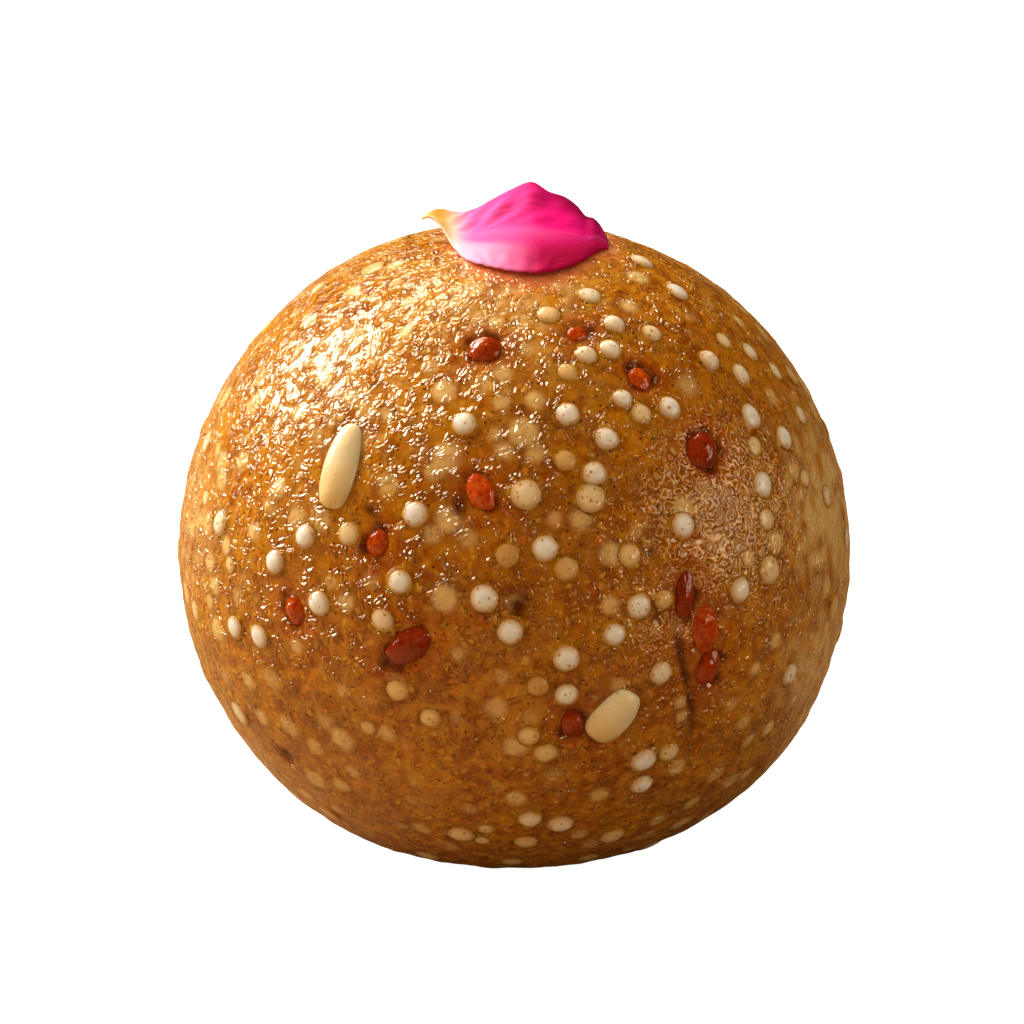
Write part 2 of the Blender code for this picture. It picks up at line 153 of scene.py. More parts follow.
# Pearls wholly under the syrup, seen as pale discs: (across, up, width, paleness)
BURIED_PEARLS = (
    (0.7, 8.8, 2.4, 0.75), (-5.0, 6.9, 2.5, 0.70), (-6.0, 5.9, 1.8, 0.45),
    (-5.2, 11.8, 2.1, 0.60), (-2.4, 12.4, 1.9, 0.35), (-0.9, 11.0, 1.6, 0.45),
    (-0.7, 7.4, 1.8, 0.45), (1.6, 7.3, 1.7, 0.50), (-14.1, 12.8, 1.9, 0.60),
    (-16.0, 10.3, 1.8, 0.50), (-12.2, 11.4, 1.7, 0.50), (-5.2, -3.6, 2.2, 0.70),
    (12.6, -11.5, 1.3, 0.55), (12.7, -12.6, 1.2, 0.50), (12.2, -5.9, 1.5, 0.30),
    (-4.9, 2.3, 2.2, 0.60), (-6.1, 1.2, 1.8, 0.40), (-3.4, 0.9, 1.7, 0.35),
    (5.0, 2.3, 2.0, 0.45), (-17.6, 4.6, 1.8, 0.60), (-20.3, 6.6, 1.7, 0.60),
    (-21.9, 5.2, 1.6, 0.60), (-22.4, -2.7, 1.6, 0.60), (-20.0, -9.9, 1.6, 0.60),
    (-16.4, -7.2, 1.5, 0.55), (-19.1, -12.7, 1.7, 0.60), (19.6, 0.6, 1.9, 0.55),
    (15.2, -16.9, 1.9, 0.50), (17.4, -17.0, 1.8, 0.50), (13.4, -19.2, 1.8, 0.55),
    (10.8, -20.5, 1.6, 0.50), (5.8, -22.4, 1.7, 0.45), (-7.0, -21.2, 1.7, 0.45),
    (1.2, -12.5, 1.7, 0.30), (3.0, -17.0, 1.6, 0.30), (-1.0, 18.8, 1.5, 0.30),
    (3.2, 19.9, 1.5, 0.40), (-9.0, 21.5, 1.6, 0.60), (-12.1, 19.4, 1.7, 0.60),
    (-15.4, 17.1, 1.6, 0.60), (-18.9, 12.9, 1.6, 0.55), (9.1, 1.3, 1.4, 0.30),
    (17.2, -12.9, 1.6, 0.45), (7.8, -10.1, 1.5, 0.35), (-4.4, -12.6, 1.3, 0.25),
)
BURIED_SPREAD = 400
BURIED_SPACING = 2.4 * MM
BURIED_SPACING_RANGE = (0.7, 1.5)
BURIED_OVERLAP = 0.8 * MM
BURIED_ROOM = 1.2 * MM
BURIED_WIDTHS = (1.2, 2.3)
BURIED_PALENESS = (0.15, 0.65)
BURIED_SEED = 12
BURIED_SWELL = 0.15 * MM
SWELL_STEEPNESS = 1.6
# Their pale discs are full to about half way out and gone just past the rim, where a ring of
# painted shade begins, this many times as far out as the rim.
DISC_START = 1.75
DISC_SOFTNESS = 0.65
GLOW_GAIN = 1.2
SHADE_RING = 1.2

# Melon-seed kernels, as (across, up, turn, length, width, squareness, taper).
# The turn is clockwise from upright, as the viewer sees it.
KERNELS = (
    (-13.0, 6.3, 9, 6.4, 2.95, 0.34, 0.10),
    (7.5, -12.5, 30, 4.4, 3.1, 0.50, 0.02),
)
KERNELS_BEHIND = 3
KERNEL_BEHIND = (6.6, 3.0, 0.1, 0.25)
KERNEL_THICKNESS = 0.72
KERNEL_UNEVEN = 0.035
KERNEL_SINK = 0.34 * MM

# Bits of red dried fruit, as (across, up, turn, length, width, sink)
FRUIT_BITS = (
    (-2.2, 15.1, 80, 2.5, 2.3, 0.45),
    (-2.5, 4.4, -28, 3.0, 2.0, 0.40),
    (14.2, 7.5, 20, 3.0, 2.7, 0.60),
    (-8.0, -7.3, 58, 4.0, 2.4, 0.55),
    (13.0, -3.4, 0, 3.8, 1.7, 0.70),
    (14.5, -6.0, -12, 3.6, 2.3, 0.45),
    (14.8, -8.9, 6, 2.9, 2.1, 0.55),
    (4.45, -13.3, -20, 2.5, 1.8, 0.60),
    (9.5, 13.0, -20, 2.0, 1.8, 0.60),
    (4.8, 16.4, 70, 1.8, 1.5, 0.55),
    (-10.4, 0.5, 15, 2.2, 1.8, 0.65),
    (-16.7, -4.6, -8, 2.4, 1.8, 0.60),
)
# How brightly each bit shows through the syrup, from dark red 0 to orange 1
FRUIT_BRIGHTNESS = (
    0.35, 0.75, 0.15, 0.15, 0.15, 0.60, 0.30, 0.20, 0.70, 0.60, 0.55, 0.60,
)
FRUIT_BEHIND = 7
FRUIT_LENGTH = 3.0
FRUIT_WIDTH = 2.1
FRUIT_SIZES = (0.75, 1.25)
FRUIT_SINK = 0.55
FRUIT_THICKNESS = 0.8
# How strongly it is dented, as a share of its size, then its folds and fine wrinkles as
# (how many across, how many along, shift from bit to bit, depth)
FRUIT_DENT = 0.10
FRUIT_FOLDS = ((2.6, 1.3, 2.9, 0.06), (7, 3.4, 4.1, 0.03))

# The split in the dough beside the red fruit, as (across, up, half width) along its line
SPLIT = (
    (12.2, -4.6, 0.10), (12.3, -6.6, 0.32), (12.7, -8.2, 0.36), (13.2, -10.2, 0.42),
    (13.5, -12.0, 0.34), (13.4, -14.0, 0.24), (13.1, -16.4, 0.08),
)
# A shallow fold above the split, in the same form
FOLD = ((10.8, 2.2, 0.3), (10.2, 0.4, 0.5), (9.2, -2.1, 0.3))
# Small pits, darkened with painted shade: (across, up, reach, depth)
PITS = (
    (0.3, -4.0, 1.05, 0.50), (-17.5, -15.9, 0.85, 0.42), (-12.1, -19.3, 0.85, 0.42),
    (-3.9, 3.3, 0.9, 0.30), (10.2, -0.5, 0.8, 0.25), (4.9, -12.4, 0.9, 0.28),
    (-10.7, 2.7, 1.0, 0.20), (3.0, 9.2, 0.6, 0.20), (10.9, -5.2, 0.6, 0.30),
    (-5.3, -5.6, 0.7, 0.18), (7.9, 3.6, 0.6, 0.18), (-8.7, -14.6, 0.6, 0.15),
)
# Places on the dough, as (across, up, reach, strength): wiped dry of syrup, lit with painted light,
# with syrup dried in rings that carry painted highlight lines, and with grains that stand up more
# steeply
DRY_PLACES = (
    (-9.0, -14.0, 8.5, 0.8), (-15.5, -13.0, 8.0, 0.9), (-4.0, -18.0, 6.0, 0.7),
    (4.0, -18.0, 5.0, 0.5), (23.0, -3.0, 6.0, 0.7), (-24.0, -6.0, 6.0, 0.6),
    (17.0, -16.0, 6.0, 0.5),
)
PAINTED_LIGHT_PLACES = (
    (23.5, 3.0, 7.0, 0.65), (22.5, -8.0, 6.0, 0.42), (-1.0, 18.5, 9.0, 0.26),
    (-13.0, 12.0, 9.0, 0.22), (-24.2, 2.0, 6.0, 0.30),
)
RINGED_PLACES = (
    (15.8, 3.0, 8.5, 1.0), (11.0, -5.5, 6.0, 0.6), (19.0, -3.0, 6.0, 0.5),
    (8.0, -18.0, 5.0, 0.4),
)
ROUGH_PLACES = (
    (3.0, 1.0, 12.0, 1.0), (9.0, -9.0, 9.0, 0.8), (-8.0, -4.0, 9.0, 0.8),
    (3.0, 12.0, 8.0, 0.5), (14.0, 12.0, 8.0, 0.5), (-18.0, -3.0, 6.0, 0.5),
)
PLACE_FADE = 1.2

# Lumps of packed meal, as (width, shift, height) in millimetres
MEAL_LUMPS = ((2.6, (5, 1, 9), 0.085), (1.1, (2, 8, 4), 0.055))
# How often an uneven edge turns, for each radius of the ball
UNEVEN_PER_RADIUS = 22
# Hollows in the dough, as (depth, reach) in millimetres. Those of the split and the fold are
# for each millimetre of their half width.
SPLIT_SLOPE = (0.22, 1.1)
SPLIT_CUT = (0.8, 0.28)
FOLD_DIP = (0.3, 0.9)
KERNEL_DIP = 0.06
# Round red fruit the dough dips by the fruit's sink less the rim, and at least by the dip.
FRUIT_DIP = 0.12
FRUIT_RIM = 0.18
# The painted shade in hollows: how dark it is and how far it reaches, as (darkness, reach in
# millimetres)
BURIED_SHADE = (0.35, 0.36)
FOLD_SHADE = (0.3, 0.5)
KERNEL_SHADE = 0.3
FRUIT_SHADE = 0.35
PIECE_SHADE_REACH = 0.55
SPLIT_SHADE_REACH = 0.45
DARKNESS_PER_DEPTH = 2.2
SPLIT_DARKEST = 0.9
# The stain of red fruit in the dough, in the same form
FRUIT_STAIN = (0.8, 1.2)
# How uneven the edges of dark places, of places of painted light and of the split are
FRUIT_SHADE_UNEVEN = 1.3
PIT_UNEVEN = 1.2
PALE_UNEVEN = 1.4
SPLIT_UNEVEN = 0.8
# Dry patches on the side behind: how many for each radius of the ball, and how dry
PATCHES_PER_RADIUS = 3.1
DRY_BEHIND = 0.9
# The painted pink light from the petal: how far it reaches before the petal, and where it starts
# and ends, in millimetres
PETAL_LIGHT_REACH = 1.5
PETAL_LIGHT_LEFT = -6.0
PETAL_LIGHT_RIGHT = 8.6

# The rose petal, from its claw on the left to its lobes on the right. Each station is
# (x, near y, near lift, far y, far lift), with the lifts measured from the ball's skin.
PETAL_STATIONS = (
    (-6.80, 0.55, 1.55, 1.05, 1.70),
    (-6.35, 0.3, 1.75, 1.3, 1.85),
    (-5.80, -0.2, 1.50, 1.5, 1.90),
    (-5.20, -1.1, 0.90, 1.7, 1.70),
    (-4.60, -2.9, 0.30, 1.9, 1.40),
    (-3.80, -5.1, 0.15, 2.4, 1.15),
    (-2.80, -6.4, 0.18, 3.2, 1.30),
    (-1.60, -7.2, 0.25, 4.0, 1.90),
    (-0.20, -7.8, 0.30, 4.7, 2.60),
    (1.30, -8.0, 0.32, 5.0, 3.15),
    (2.60, -7.6, 0.30, 4.8, 2.45),
    (3.80, -6.6, 0.25, 4.4, 2.10),
    (4.70, -5.6, 0.20, 3.9, 1.50),
    (5.30, -4.6, 0.15, 3.5, 0.85),
    (5.90, -3.2, 0.10, 3.2, 0.80),
    (6.40, -2.2, 0.05, 2.8, 0.50),
    (6.95, -1.5, 0.00, 0.2, 0.10),
)
PETAL_THICKNESS = 0.30 * MM
PETAL_EDGE = 0.10 * MM
PETAL_RISE = 1.9
PETAL_STEPS_LONG = 150
PETAL_STEPS_ACROSS = 72
PETAL_WAVE = 0.12 * MM
PETAL_KEEP_OUT = 9.2 * MM
PETAL_REST = 0.06 * MM
# Where the veins start, along and across the petal, and how widely they fan out
PETAL_FOOT = 0.14
PETAL_FOOT_SIDE = 0.42
PETAL_FAN = 0.55
# Relief of the petal, in millimetres: fanning folds, slanting ridges, its rib and its frill
FOLD_HEIGHT = 0.05
FOLDS_IN_FAN = 15
RIDGE_HEIGHT = 0.11
RIDGE_SPACING = 0.10
RIB_HEIGHT = 0.13
RIB_WIDTH = 0.08
FRILL_HEIGHT = 0.16

# The palm's wrinkles run down to the right as the viewer sees them. In millimetres: how wide they
# are and how high, with how many times longer they run than they are wide
WRINKLE_SLANT = math.radians(35)
WRINKLE_WIDTH = 0.50
WRINKLE_LENGTH = 3.5
WRINKLE_HEIGHT = 0.18
# Grains of meal, in millimetres: their size, how far they are drawn out of shape, the height of
# low and high ones, and a gentle swell over them. The side is a share of the size.
GRAIN_SIZE = 0.62
GRAIN_SIDE = 0.27
GRAIN_DRIFT = 0.9
GRAIN_LOW = 0.02
GRAIN_HIGH = 0.150
SWELL_HEIGHT = 0.11
SWELL_SIZE = 0.62
# How much higher the grains stand in rough places, and how much lower under rings of syrup,
# as shares
ROUGH_GAIN = 0.7
RINGED_LOSS = 0.85
# Ridges of dried syrup: the size of the field that they follow, how many run between its lowest
# and highest value, and their height outside and inside the ringed places, in millimetres
RING_FIELD = 0.74
RIDGES_PER_FIELD = 4.0
RING_HEIGHT_LOW = 0.003
RING_HEIGHT_HIGH = 0.019

# Spice specks, in millimetres, and the share of their cells that hold one
DOUGH_SPECKS = {"Spacing": 0.42, "Size": 0.09, "Share": 0.75}
PEARL_SPECKS = {"Spacing": 0.42, "Size": 0.115, "Share": 0.8}
KERNEL_SPECKS = {"Spacing": 0.52, "Size": 0.085, "Share": 0.55}

# Colours, as linear red, green and blue. The dough ranges over the first two, and a painted
# shade multiplies its colour on the side behind.
AMBER = (0.46, 0.140, 0.002)
GOLD = (0.68, 0.270, 0.006)
HONEY = (0.74, 0.33, 0.012)
TOFFEE = (0.27, 0.068, 0.001)
GREYED = (0.46, 0.21, 0.04)
BURNT = (0.32, 0.070, 0.001)
PALE_GRAIN = (0.86, 0.46, 0.05)
ORANGE_GRAIN = (0.72, 0.17, 0.003)
BROWN_GRAIN = (0.14, 0.040, 0.002)
# Painted shade in the gaps between grains
GRAIN_GAP_SHADE = (0.34, 0.090, 0.001)
# Painted shade in the troughs of the rings of syrup, and painted highlight lines on their crests
PAINTED_RING_SHADE = (0.24, 0.080, 0.001)
PAINTED_RING_HIGHLIGHT = (0.95, 0.68, 0.34)
SPICE = (0.11, 0.026, 0.001)
# Painted shade, multiplied into the dough's colour on the side behind
BACK_SHADE = (0.50, 0.42, 0.50)
# The pale discs of buried pearls, also laid on as painted light in the pale places
SEEN_PEARL_AND_PAINTED_LIGHT = (0.92, 0.66, 0.28)
# Painted pink light from the petal
PAINTED_PETAL_LIGHT = (0.95, 0.26, 0.13)
STAIN = (0.50, 0.085, 0.003)
# Painted shade in hollows, creases, pits and round sunk pieces
HOLLOW_SHADE = (0.12, 0.020, 0.0007)
PEARL_TINTED = (0.60, 0.30, 0.06)
PEARL_CREAM = (0.88, 0.64, 0.31)
PEARL_WHITE = (0.99, 0.95, 0.91)
PEARL_CLOUD = (0.86, 0.68, 0.42)
PEARL_FOOT = (0.58, 0.33, 0.09)
PEARL_SPICE = (0.58, 0.29, 0.02)
KERNEL_ROOT = (0.84, 0.62, 0.28)
KERNEL_BODY = (0.94, 0.81, 0.54)
KERNEL_CLOUD = (0.88, 0.70, 0.42)
KERNEL_SPICE = (0.64, 0.27, 0.03)
# The darkest and the brightest red fruit, each as a range
FRUIT_DARK = ((0.16, 0.007, 0.001), (0.30, 0.020, 0.001))
FRUIT_BRIGHT = ((0.62, 0.055, 0.002), (0.84, 0.15, 0.006))
PETAL_PINK = (0.88, 0.13, 0.48)
PETAL_HOT_PINK = (0.80, 0.001, 0.21)
# Painted shade on the lobes, and on the fold of the far edge
PETAL_LOBE_SHADE = (0.20, 0.0005, 0.035)
PETAL_FAR_FOLD_SHADE = (0.18, 0.0005, 0.03)
PETAL_PALE_VEIN = (0.90, 0.02, 0.36)
PETAL_DARK_VEIN = (0.46, 0.0005, 0.12)
# Painted shade on the right of the near flap
PETAL_FLAP_SHADE = (0.36, 0.0005, 0.05)
PETAL_PALE_FLAP = (0.96, 0.54, 0.86)
# A painted highlight along the rib
PETAL_RIB_HIGHLIGHT = (0.90, 0.18, 0.60)
PETAL_PALE_FOOT = (0.93, 0.78, 0.80)
PETAL_CLAW = (0.93, 0.61, 0.12)
PETAL_TIP = (0.75, 0.34, 0.05)

# Lights: where each stands, as seen from the ball's middle, its distance, width, watts and colour
LIGHTS = (
    ("left window", (-0.709, 0.447, 0.547), 0.45, 0.25, 2.5, (1.0, 0.95, 0.86)),
    ("back window", (-0.36, 0.58, 0.74), 0.55, 0.26, 1.45, (1.0, 0.88, 0.70)),
    ("right bounce", (0.968, -0.108, 0.228), 0.50, 0.20, 0.37, (1.0, 0.79, 0.57)),
    ("front card", (0.80, -0.58, 0.10), 0.50, 0.12, 0.22, (1.0, 0.80, 0.57)),
)
# The room: how bright it is on the right, what the left, the back and the top add, and its tints
ROOM_RIGHT = 0.03
ROOM_LEFT = 0.98
ROOM_BACK = 0.36
ROOM_TOP = 0.48
ROOM_TINT = (1.0, 0.78, 0.52)
BACKDROP_TINT = (1.0, 0.88, 0.72)
# How much of the room is mirrored in the syrup
ROOM_MIRRORED = 0.03
# What the floor throws back onto the ladoo, on its lit left and its dim right
FLOOR_LEFT = (0.32, 0.205, 0.10)
FLOOR_RIGHT = (0.10, 0.050, 0.015)
FLOOR_SIZE = 3.0
FLOOR_DROP = 0.2 * MM
# The camera looks at a place given in millimetres from the ball's middle.
LENS_PER_SENSOR_WIDTH = 6.5236
SENSOR_WIDTH = 36.0
AIM_UP = 2.84
AIM_LEFT = 0.15


# ---------------------------------------------------------------- shape of the ball's skin


def seen_at(across, up):
    """The direction from the ball's centre to the place that the viewer sees there, in mm."""
    eye = TO_VIEWER * VIEW_DISTANCE
    ray = ((TO_RIGHT * across + TO_TOP * up) * MM - eye).normalized()
    abreast = -eye.dot(ray)
    missed_by = eye.length_squared - abreast * abreast
    reached = abreast - math.sqrt(max(0.0, BALL_RADIUS**2 - missed_by))
    return (eye + ray * reached).normalized()


PALM_DIRECTIONS = [(seen_at(a, u), reach * MM, height * MM) for a, u, reach, height in PALM_MARKS]


def softened(value):
    """Zero well below zero, the value itself well above it, and a smooth turn between."""
    return math.log1p(math.exp(value))


def skin(direction):
    """The point of the ball's skin in this direction from its centre."""
    radius = BALL_RADIUS
    radius += LUMP_HEIGHT * noise.noise(direction * LUMPS_PER_RADIUS + LUMP_OFFSET)
    for mark, reach, height in PALM_DIRECTIONS:
        away = (direction - mark).length * BALL_RADIUS / reach
        radius += height * math.exp(-2 * away * away)
    if direction.z < 0:
        latitude = math.asin(max(-1.0, direction.z))
        radius -= BALL_RADIUS * SLUMP * math.sin(2 * latitude) ** 2
    point = direction * radius
    point.z = PRESS_ROUNDING * softened((point.z + PRESS_DEPTH) / PRESS_ROUNDING) - PRESS_DEPTH
    return point + CENTRE


def skin_above(x, y):
    """The height of the ball's skin over this place on the table, near the top of the ball."""
    direction = Vector((x, y, math.sqrt(BALL_RADIUS**2 - x * x - y * y))).normalized()
    return skin(direction).z


def set_on_skin(direction, turn, sink):
    """The frame of a piece set in the skin: X across it, Y along it and Z out of the ball."""
    out = direction
    along = (TO_TOP - out * TO_TOP.dot(out)).normalized()
    along = Matrix.Rotation(-turn, 3, out) @ along
    side = along.cross(out)
    placed = Matrix((side, along, out)).transposed().to_4x4()
    placed.translation = skin(direction) - out * sink
    return placed


# ---------------------------------------------------------------- where everything lies


def unseen_directions(generator):
    """Random directions off the flat spot and the petal, each with how it faces the viewer."""
    highest = skin(Vector((0, 0, 1))).z
    for _ in range(SPREAD_TRIES):
        direction = Vector(generator.gauss(0, 1) for _ in range(3)).normalized()
        point = skin(direction)
        from_top = (point - Vector((0, 0, highest))).length
        if point.z >= LOWEST_ADDED and from_top >= PETAL_KEEP_OUT:
            yield direction, direction.dot(TO_VIEWER)


def clear_of(direction, taken, spacing):
    """Whether a direction keeps the spacing, and their own room, from all that is placed."""
    return all((direction - other).length * BALL_RADIUS > spacing + room for other, room in taken)


def sites():
    """Where everything in the dough lies: the pearls, kernels and fruit bits, as lists of rows."""
    generator = random.Random(SPREAD_SEED)
    tones = random.Random(TONE_SEED)
    kernels = [(seen_at(a, u), *rest) for a, u, *rest in KERNELS]
    fruit = [(seen_at(a, u), *rest) for a, u, *rest in FRUIT_BITS]
    pearls = []
    for table, height in ((PROUD_PEARLS, PROUD_HEIGHT), (SUNK_PEARLS, SUNK_HEIGHT)):
        pearls += [(seen_at(a, u), w * MM, height, tone) for a, u, w, tone in table]
    taken = []
    for rows, room in ((kernels, KERNEL_ROOM), (fruit, FRUIT_ROOM), (pearls, 0.0)):
        taken += [(row[0], room) for row in rows]
    for direction, facing in unseen_directions(generator):
        if len(kernels) < len(KERNELS) + KERNELS_BEHIND:
            if facing < PIECES_HIDDEN and clear_of(direction, taken, KERNEL_SPACING):
                kernels.append((direction, generator.uniform(0, 180), *KERNEL_BEHIND))
                taken.append((direction, KERNEL_ROOM))
        elif len(fruit) < len(FRUIT_BITS) + FRUIT_BEHIND:
            if facing < PIECES_HIDDEN and clear_of(direction, taken, FRUIT_SPACING):
                turn = generator.uniform(0, 180)
                size = generator.uniform(*FRUIT_SIZES)
                row = (direction, turn, FRUIT_LENGTH * size, FRUIT_WIDTH * size, FRUIT_SINK)
                fruit.append(row)
                taken.append((direction, FRUIT_ROOM))
        elif len(pearls) < len(PROUD_PEARLS) + len(SUNK_PEARLS) + SPREAD_PEARLS:
            if facing < PEARLS_HIDDEN and clear_of(direction, taken, SPREAD_SPACING):
                height = generator.choice((PROUD_HEIGHT, SUNK_HEIGHT))
                width = generator.uniform(*SPREAD_WIDTHS) * MM
                if facing > RIM_FACING:
                    height = FLUSH_HEIGHT
                pearls.append((direction, width, height, tones.uniform(*SPREAD_TONES)))
                taken.append((direction, PEARL_ROOM))
    pearls += [(seen_at(a, u), w * MM, FLUSH_HEIGHT, tone) for a, u, w, tone in FLUSH_PEARLS]
    return pearls, kernels, fruit


def buried_sites(pearls, kernels, fruit):
    """The pearls under the syrup: those that the viewer sees, then a spread all round."""
    generator = random.Random(BURIED_SEED)
    buried = [(seen_at(a, u), w * MM, paleness) for a, u, w, paleness in BURIED_PEARLS]
    taken = [(row[0], BURIED_ROOM) for row in kernels + fruit]
    taken += [(row[0], 0.0) for row in pearls + buried]
    wanted = len(buried) + BURIED_SPREAD
    for _ in range(SPREAD_TRIES):
        direction = Vector(generator.gauss(0, 1) for _ in range(3)).normalized()
        spacing = BURIED_SPACING * generator.uniform(*BURIED_SPACING_RANGE)
        if clear_of(direction, taken, spacing - BURIED_OVERLAP):
            width = generator.uniform(*BURIED_WIDTHS) * MM
            buried.append((direction, width, generator.uniform(*BURIED_PALENESS)))
            taken.append((direction, 0.0))
        if len(buried) == wanted:
            break
    return buried


# ---------------------------------------------------------------- helpers for meshes


def link(thing):
    """Puts a thing into the scene."""
    bpy.context.scene.collection.objects.link(thing)


def add_piece(name, builder, replaced, finish):
    """A piece of the ladoo, made of a bmesh, that rides on the root and stands for a solid."""
    mesh = bpy.data.meshes.new(name)
    builder.to_mesh(mesh)
    builder.free()
    mesh.materials.append(finish)
    mesh.shade_smooth()
    piece = bpy.data.objects.new(name, mesh)
    link(piece)
    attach(piece, "root")
    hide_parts(replaced)


def add_set_piece(name, builder, site, replaced, finish):
    """A piece like that, set in the skin at its site: its direction, its turn and its sink."""
    direction, turn, sink = site
    placed = set_on_skin(direction, math.radians(turn), sink)
    bmesh.ops.transform(builder, matrix=placed, verts=builder.verts[:])
    add_piece(name, builder, replaced, finish)


def eased(share):
    """A smooth step from 0 to 1 while the share goes from 0 to 1."""
    share = np.clip(share, 0.0, 1.0)
    return share * share * (3 - 2 * share)


def mound(away, reach):
    """1 in the middle, a third at the reach and almost nothing beyond twice the reach."""
    return np.exp(-((away / reach) ** 2))


def grid_faces(builder, rows, closed):
    """Faces between rows of vertices, round in rings where closed."""
    for lower, upper in zip(rows, rows[1:]):
        count = len(lower)
        for i in range(count if closed else count - 1):
            j = (i + 1) % count
            builder.faces.new((lower[i], lower[j], upper[j], upper[i]))


# ---------------------------------------------------------------- the dough


class Dough:
    """The ball's skin as many points: their directions, how far each rises, and its masks.

    The masks run from 0 to 1: the film of syrup, the painted shade of creases, glow, the pale discs
    of pearls under the syrup with painted light in pale places, the painted pink light from the petal,
    the fruit's bleed, rings of dried syrup, rough grains and tan, the painted shade of the side
    behind.
    """

    def __init__(self, directions):
        self.directions = directions
        count = len(directions)
        self.rise = np.zeros(count)
        turned = [noise.noise(Vector(d) * UNEVEN_PER_RADIUS) for d in directions]
        self.uneven = np.array(turned)
        names = ("film", "crease", "glow", "petal_light", "bleed", "rings", "rough", "tan")
        self.masks = {name: np.zeros(count) for name in names}

    def away(self, direction):
        """How far each point lies from a place on the skin, in millimetres."""
        return np.linalg.norm(self.directions - np.array(direction), axis=1) * BALL_RADIUS / MM

    def off_line(self, places):
        """For a line across the skin: how far each point lies from it, and its half width there."""
        nearest = np.full(len(self.directions), 1e9)
        width = np.zeros(len(self.directions))
        ends = [(np.array(seen_at(a, u)), w) for a, u, w in places]
        for (start, start_width), (end, end_width) in zip(ends, ends[1:]):
            run = end - start
            share = np.clip((self.directions - start) @ run / (run @ run), 0, 1)
            away = np.linalg.norm(self.directions - start - share[:, None] * run, axis=1)
            away *= BALL_RADIUS / MM
            closer = away < nearest
            nearest = np.where(closer, away, nearest)
            width = np.where(closer, start_width + (end_width - start_width) * share, width)
        return nearest, width

    def places(self, table, power=3):
        """For each place of a table: its strength, and how it fades from 1 in its middle."""
        for across, up, reach, strength in table:
            away = self.away(seen_at(across, up)) / reach
            yield strength, np.exp(-PLACE_FADE * away**power)

    def deepen(self, name, amount):
        self.masks[name] = np.maximum(self.masks[name], amount)

    def dip(self, away, width, hollow):
        """Sinks the skin along a line, the deeper the wider the line is."""
        depth, reach = hollow
        self.rise -= depth * width * mound(away, reach) * MM

    def add_lumps(self):
        """Soft lumps of packed meal, one to a few millimetres wide."""
        for index, direction in enumerate(self.directions):
            place = Vector(direction) * BALL_RADIUS / MM
            lumps = [h * noise.noise(place / w + Vector(shift)) for w, shift, h in MEAL_LUMPS]
            self.rise[index] = sum(lumps) * MM

    def add_buried(self, buried):
        """Low pale swells over the pearls under the syrup, each in a faint ring of painted shade."""
        darkness, reach = BURIED_SHADE
        for direction, width, paleness in buried:
            away = self.away(direction)
            half = width / MM / 2
            self.rise += BURIED_SWELL * paleness * np.exp(-SWELL_STEEPNESS * (away / half) ** 2)
            disc = np.clip(DISC_START - away / half / DISC_SOFTNESS, 0, 1)
            self.deepen("glow", min(1.0, GLOW_GAIN * paleness) * disc)
            # Painted shade in a ring round the pearl
            ring = mound(away - half * SHADE_RING, reach)
            self.deepen("crease", darkness * paleness * ring)

    def settle_pearls(self, pearls):
        """Smooths the lumps away under each pearl."""
        for direction, width, _, _ in pearls:
            rim = width / MM / 2
            self.rise *= eased((self.away(direction) - rim * 0.85) / 0.5)

    def settle_long(self, direction, turn, length, width, depth, darkness):
        """Smooths the lumps away under a long piece and sinks the skin beside it, with painted shade.
        """
        placed = set_on_skin(direction, math.radians(turn), 0)
        local = (self.directions * BALL_RADIUS + np.array(CENTRE)) - np.array(placed.translation)
        across = local @ np.array(placed.col[0][:3]) / MM
        along = local @ np.array(placed.col[1][:3]) / MM
        out = np.array(self.directions) @ np.array(direction)
        stretch = np.hypot(across / width, along / length) * 2
        away = np.where(out > 0, (stretch - 1) * min(width, length) / 2, 1e3)
        free = eased((away + 0.3) / 0.8)
        self.rise = self.rise * free - depth * MM * (1 - free)
        away = np.clip(away, 0, None)
        # Painted shade beside the piece
        self.deepen("crease", darkness * mound(away, PIECE_SHADE_REACH))
        return away

    def settle_fruit(self, direction, turn, length, width, sink):
        """A hollow round a bit of red fruit, with painted shade in it; the fruit has also stained the
        dough.
        """
        depth = max(FRUIT_DIP, sink - FRUIT_RIM)
        darkness = FRUIT_SHADE + FRUIT_SHADE_UNEVEN * self.uneven
        away = self.settle_long(direction, turn, length, width, depth, darkness)
        strength, reach = FRUIT_STAIN
        self.deepen("bleed", (strength + self.uneven) * mound(away, reach))

    def open_split(self):
        away, width = self.off_line(SPLIT)
        width = width * (1 + SPLIT_UNEVEN * self.uneven)
        self.dip(away, width, SPLIT_SLOPE)
        self.dip(away, width, SPLIT_CUT)
        # Painted shade along the split, the darker the wider it is
        darkness = np.clip(width * DARKNESS_PER_DEPTH, 0, SPLIT_DARKEST)
        self.deepen("crease", darkness * mound(away, SPLIT_SHADE_REACH))
        away, width = self.off_line(FOLD)
        self.dip(away, width, FOLD_DIP)
        # Painted shade along the fold
        darkness, reach = FOLD_SHADE
        self.deepen("crease", darkness * mound(away, reach))

    def press_pits(self):
        for across, up, reach, depth in PITS:
            away = self.away(seen_at(across, up))
            self.rise -= depth * mound(away, reach) * MM
            # Painted shade in each pit
            darkness = min(1.0, depth * DARKNESS_PER_DEPTH) + PIT_UNEVEN * self.uneven
            self.deepen("crease", darkness * mound(away, reach * 0.9))

    def spread_film(self):
        """The ringed and rough places, painted light in the pale places, then the syrup and where it
        is wiped off or dry, and painted shade on the side behind.
        """
        for name, table in (("rings", RINGED_PLACES), ("rough", ROUGH_PLACES)):
            for strength, fading in self.places(table):
                self.deepen(name, strength * fading)
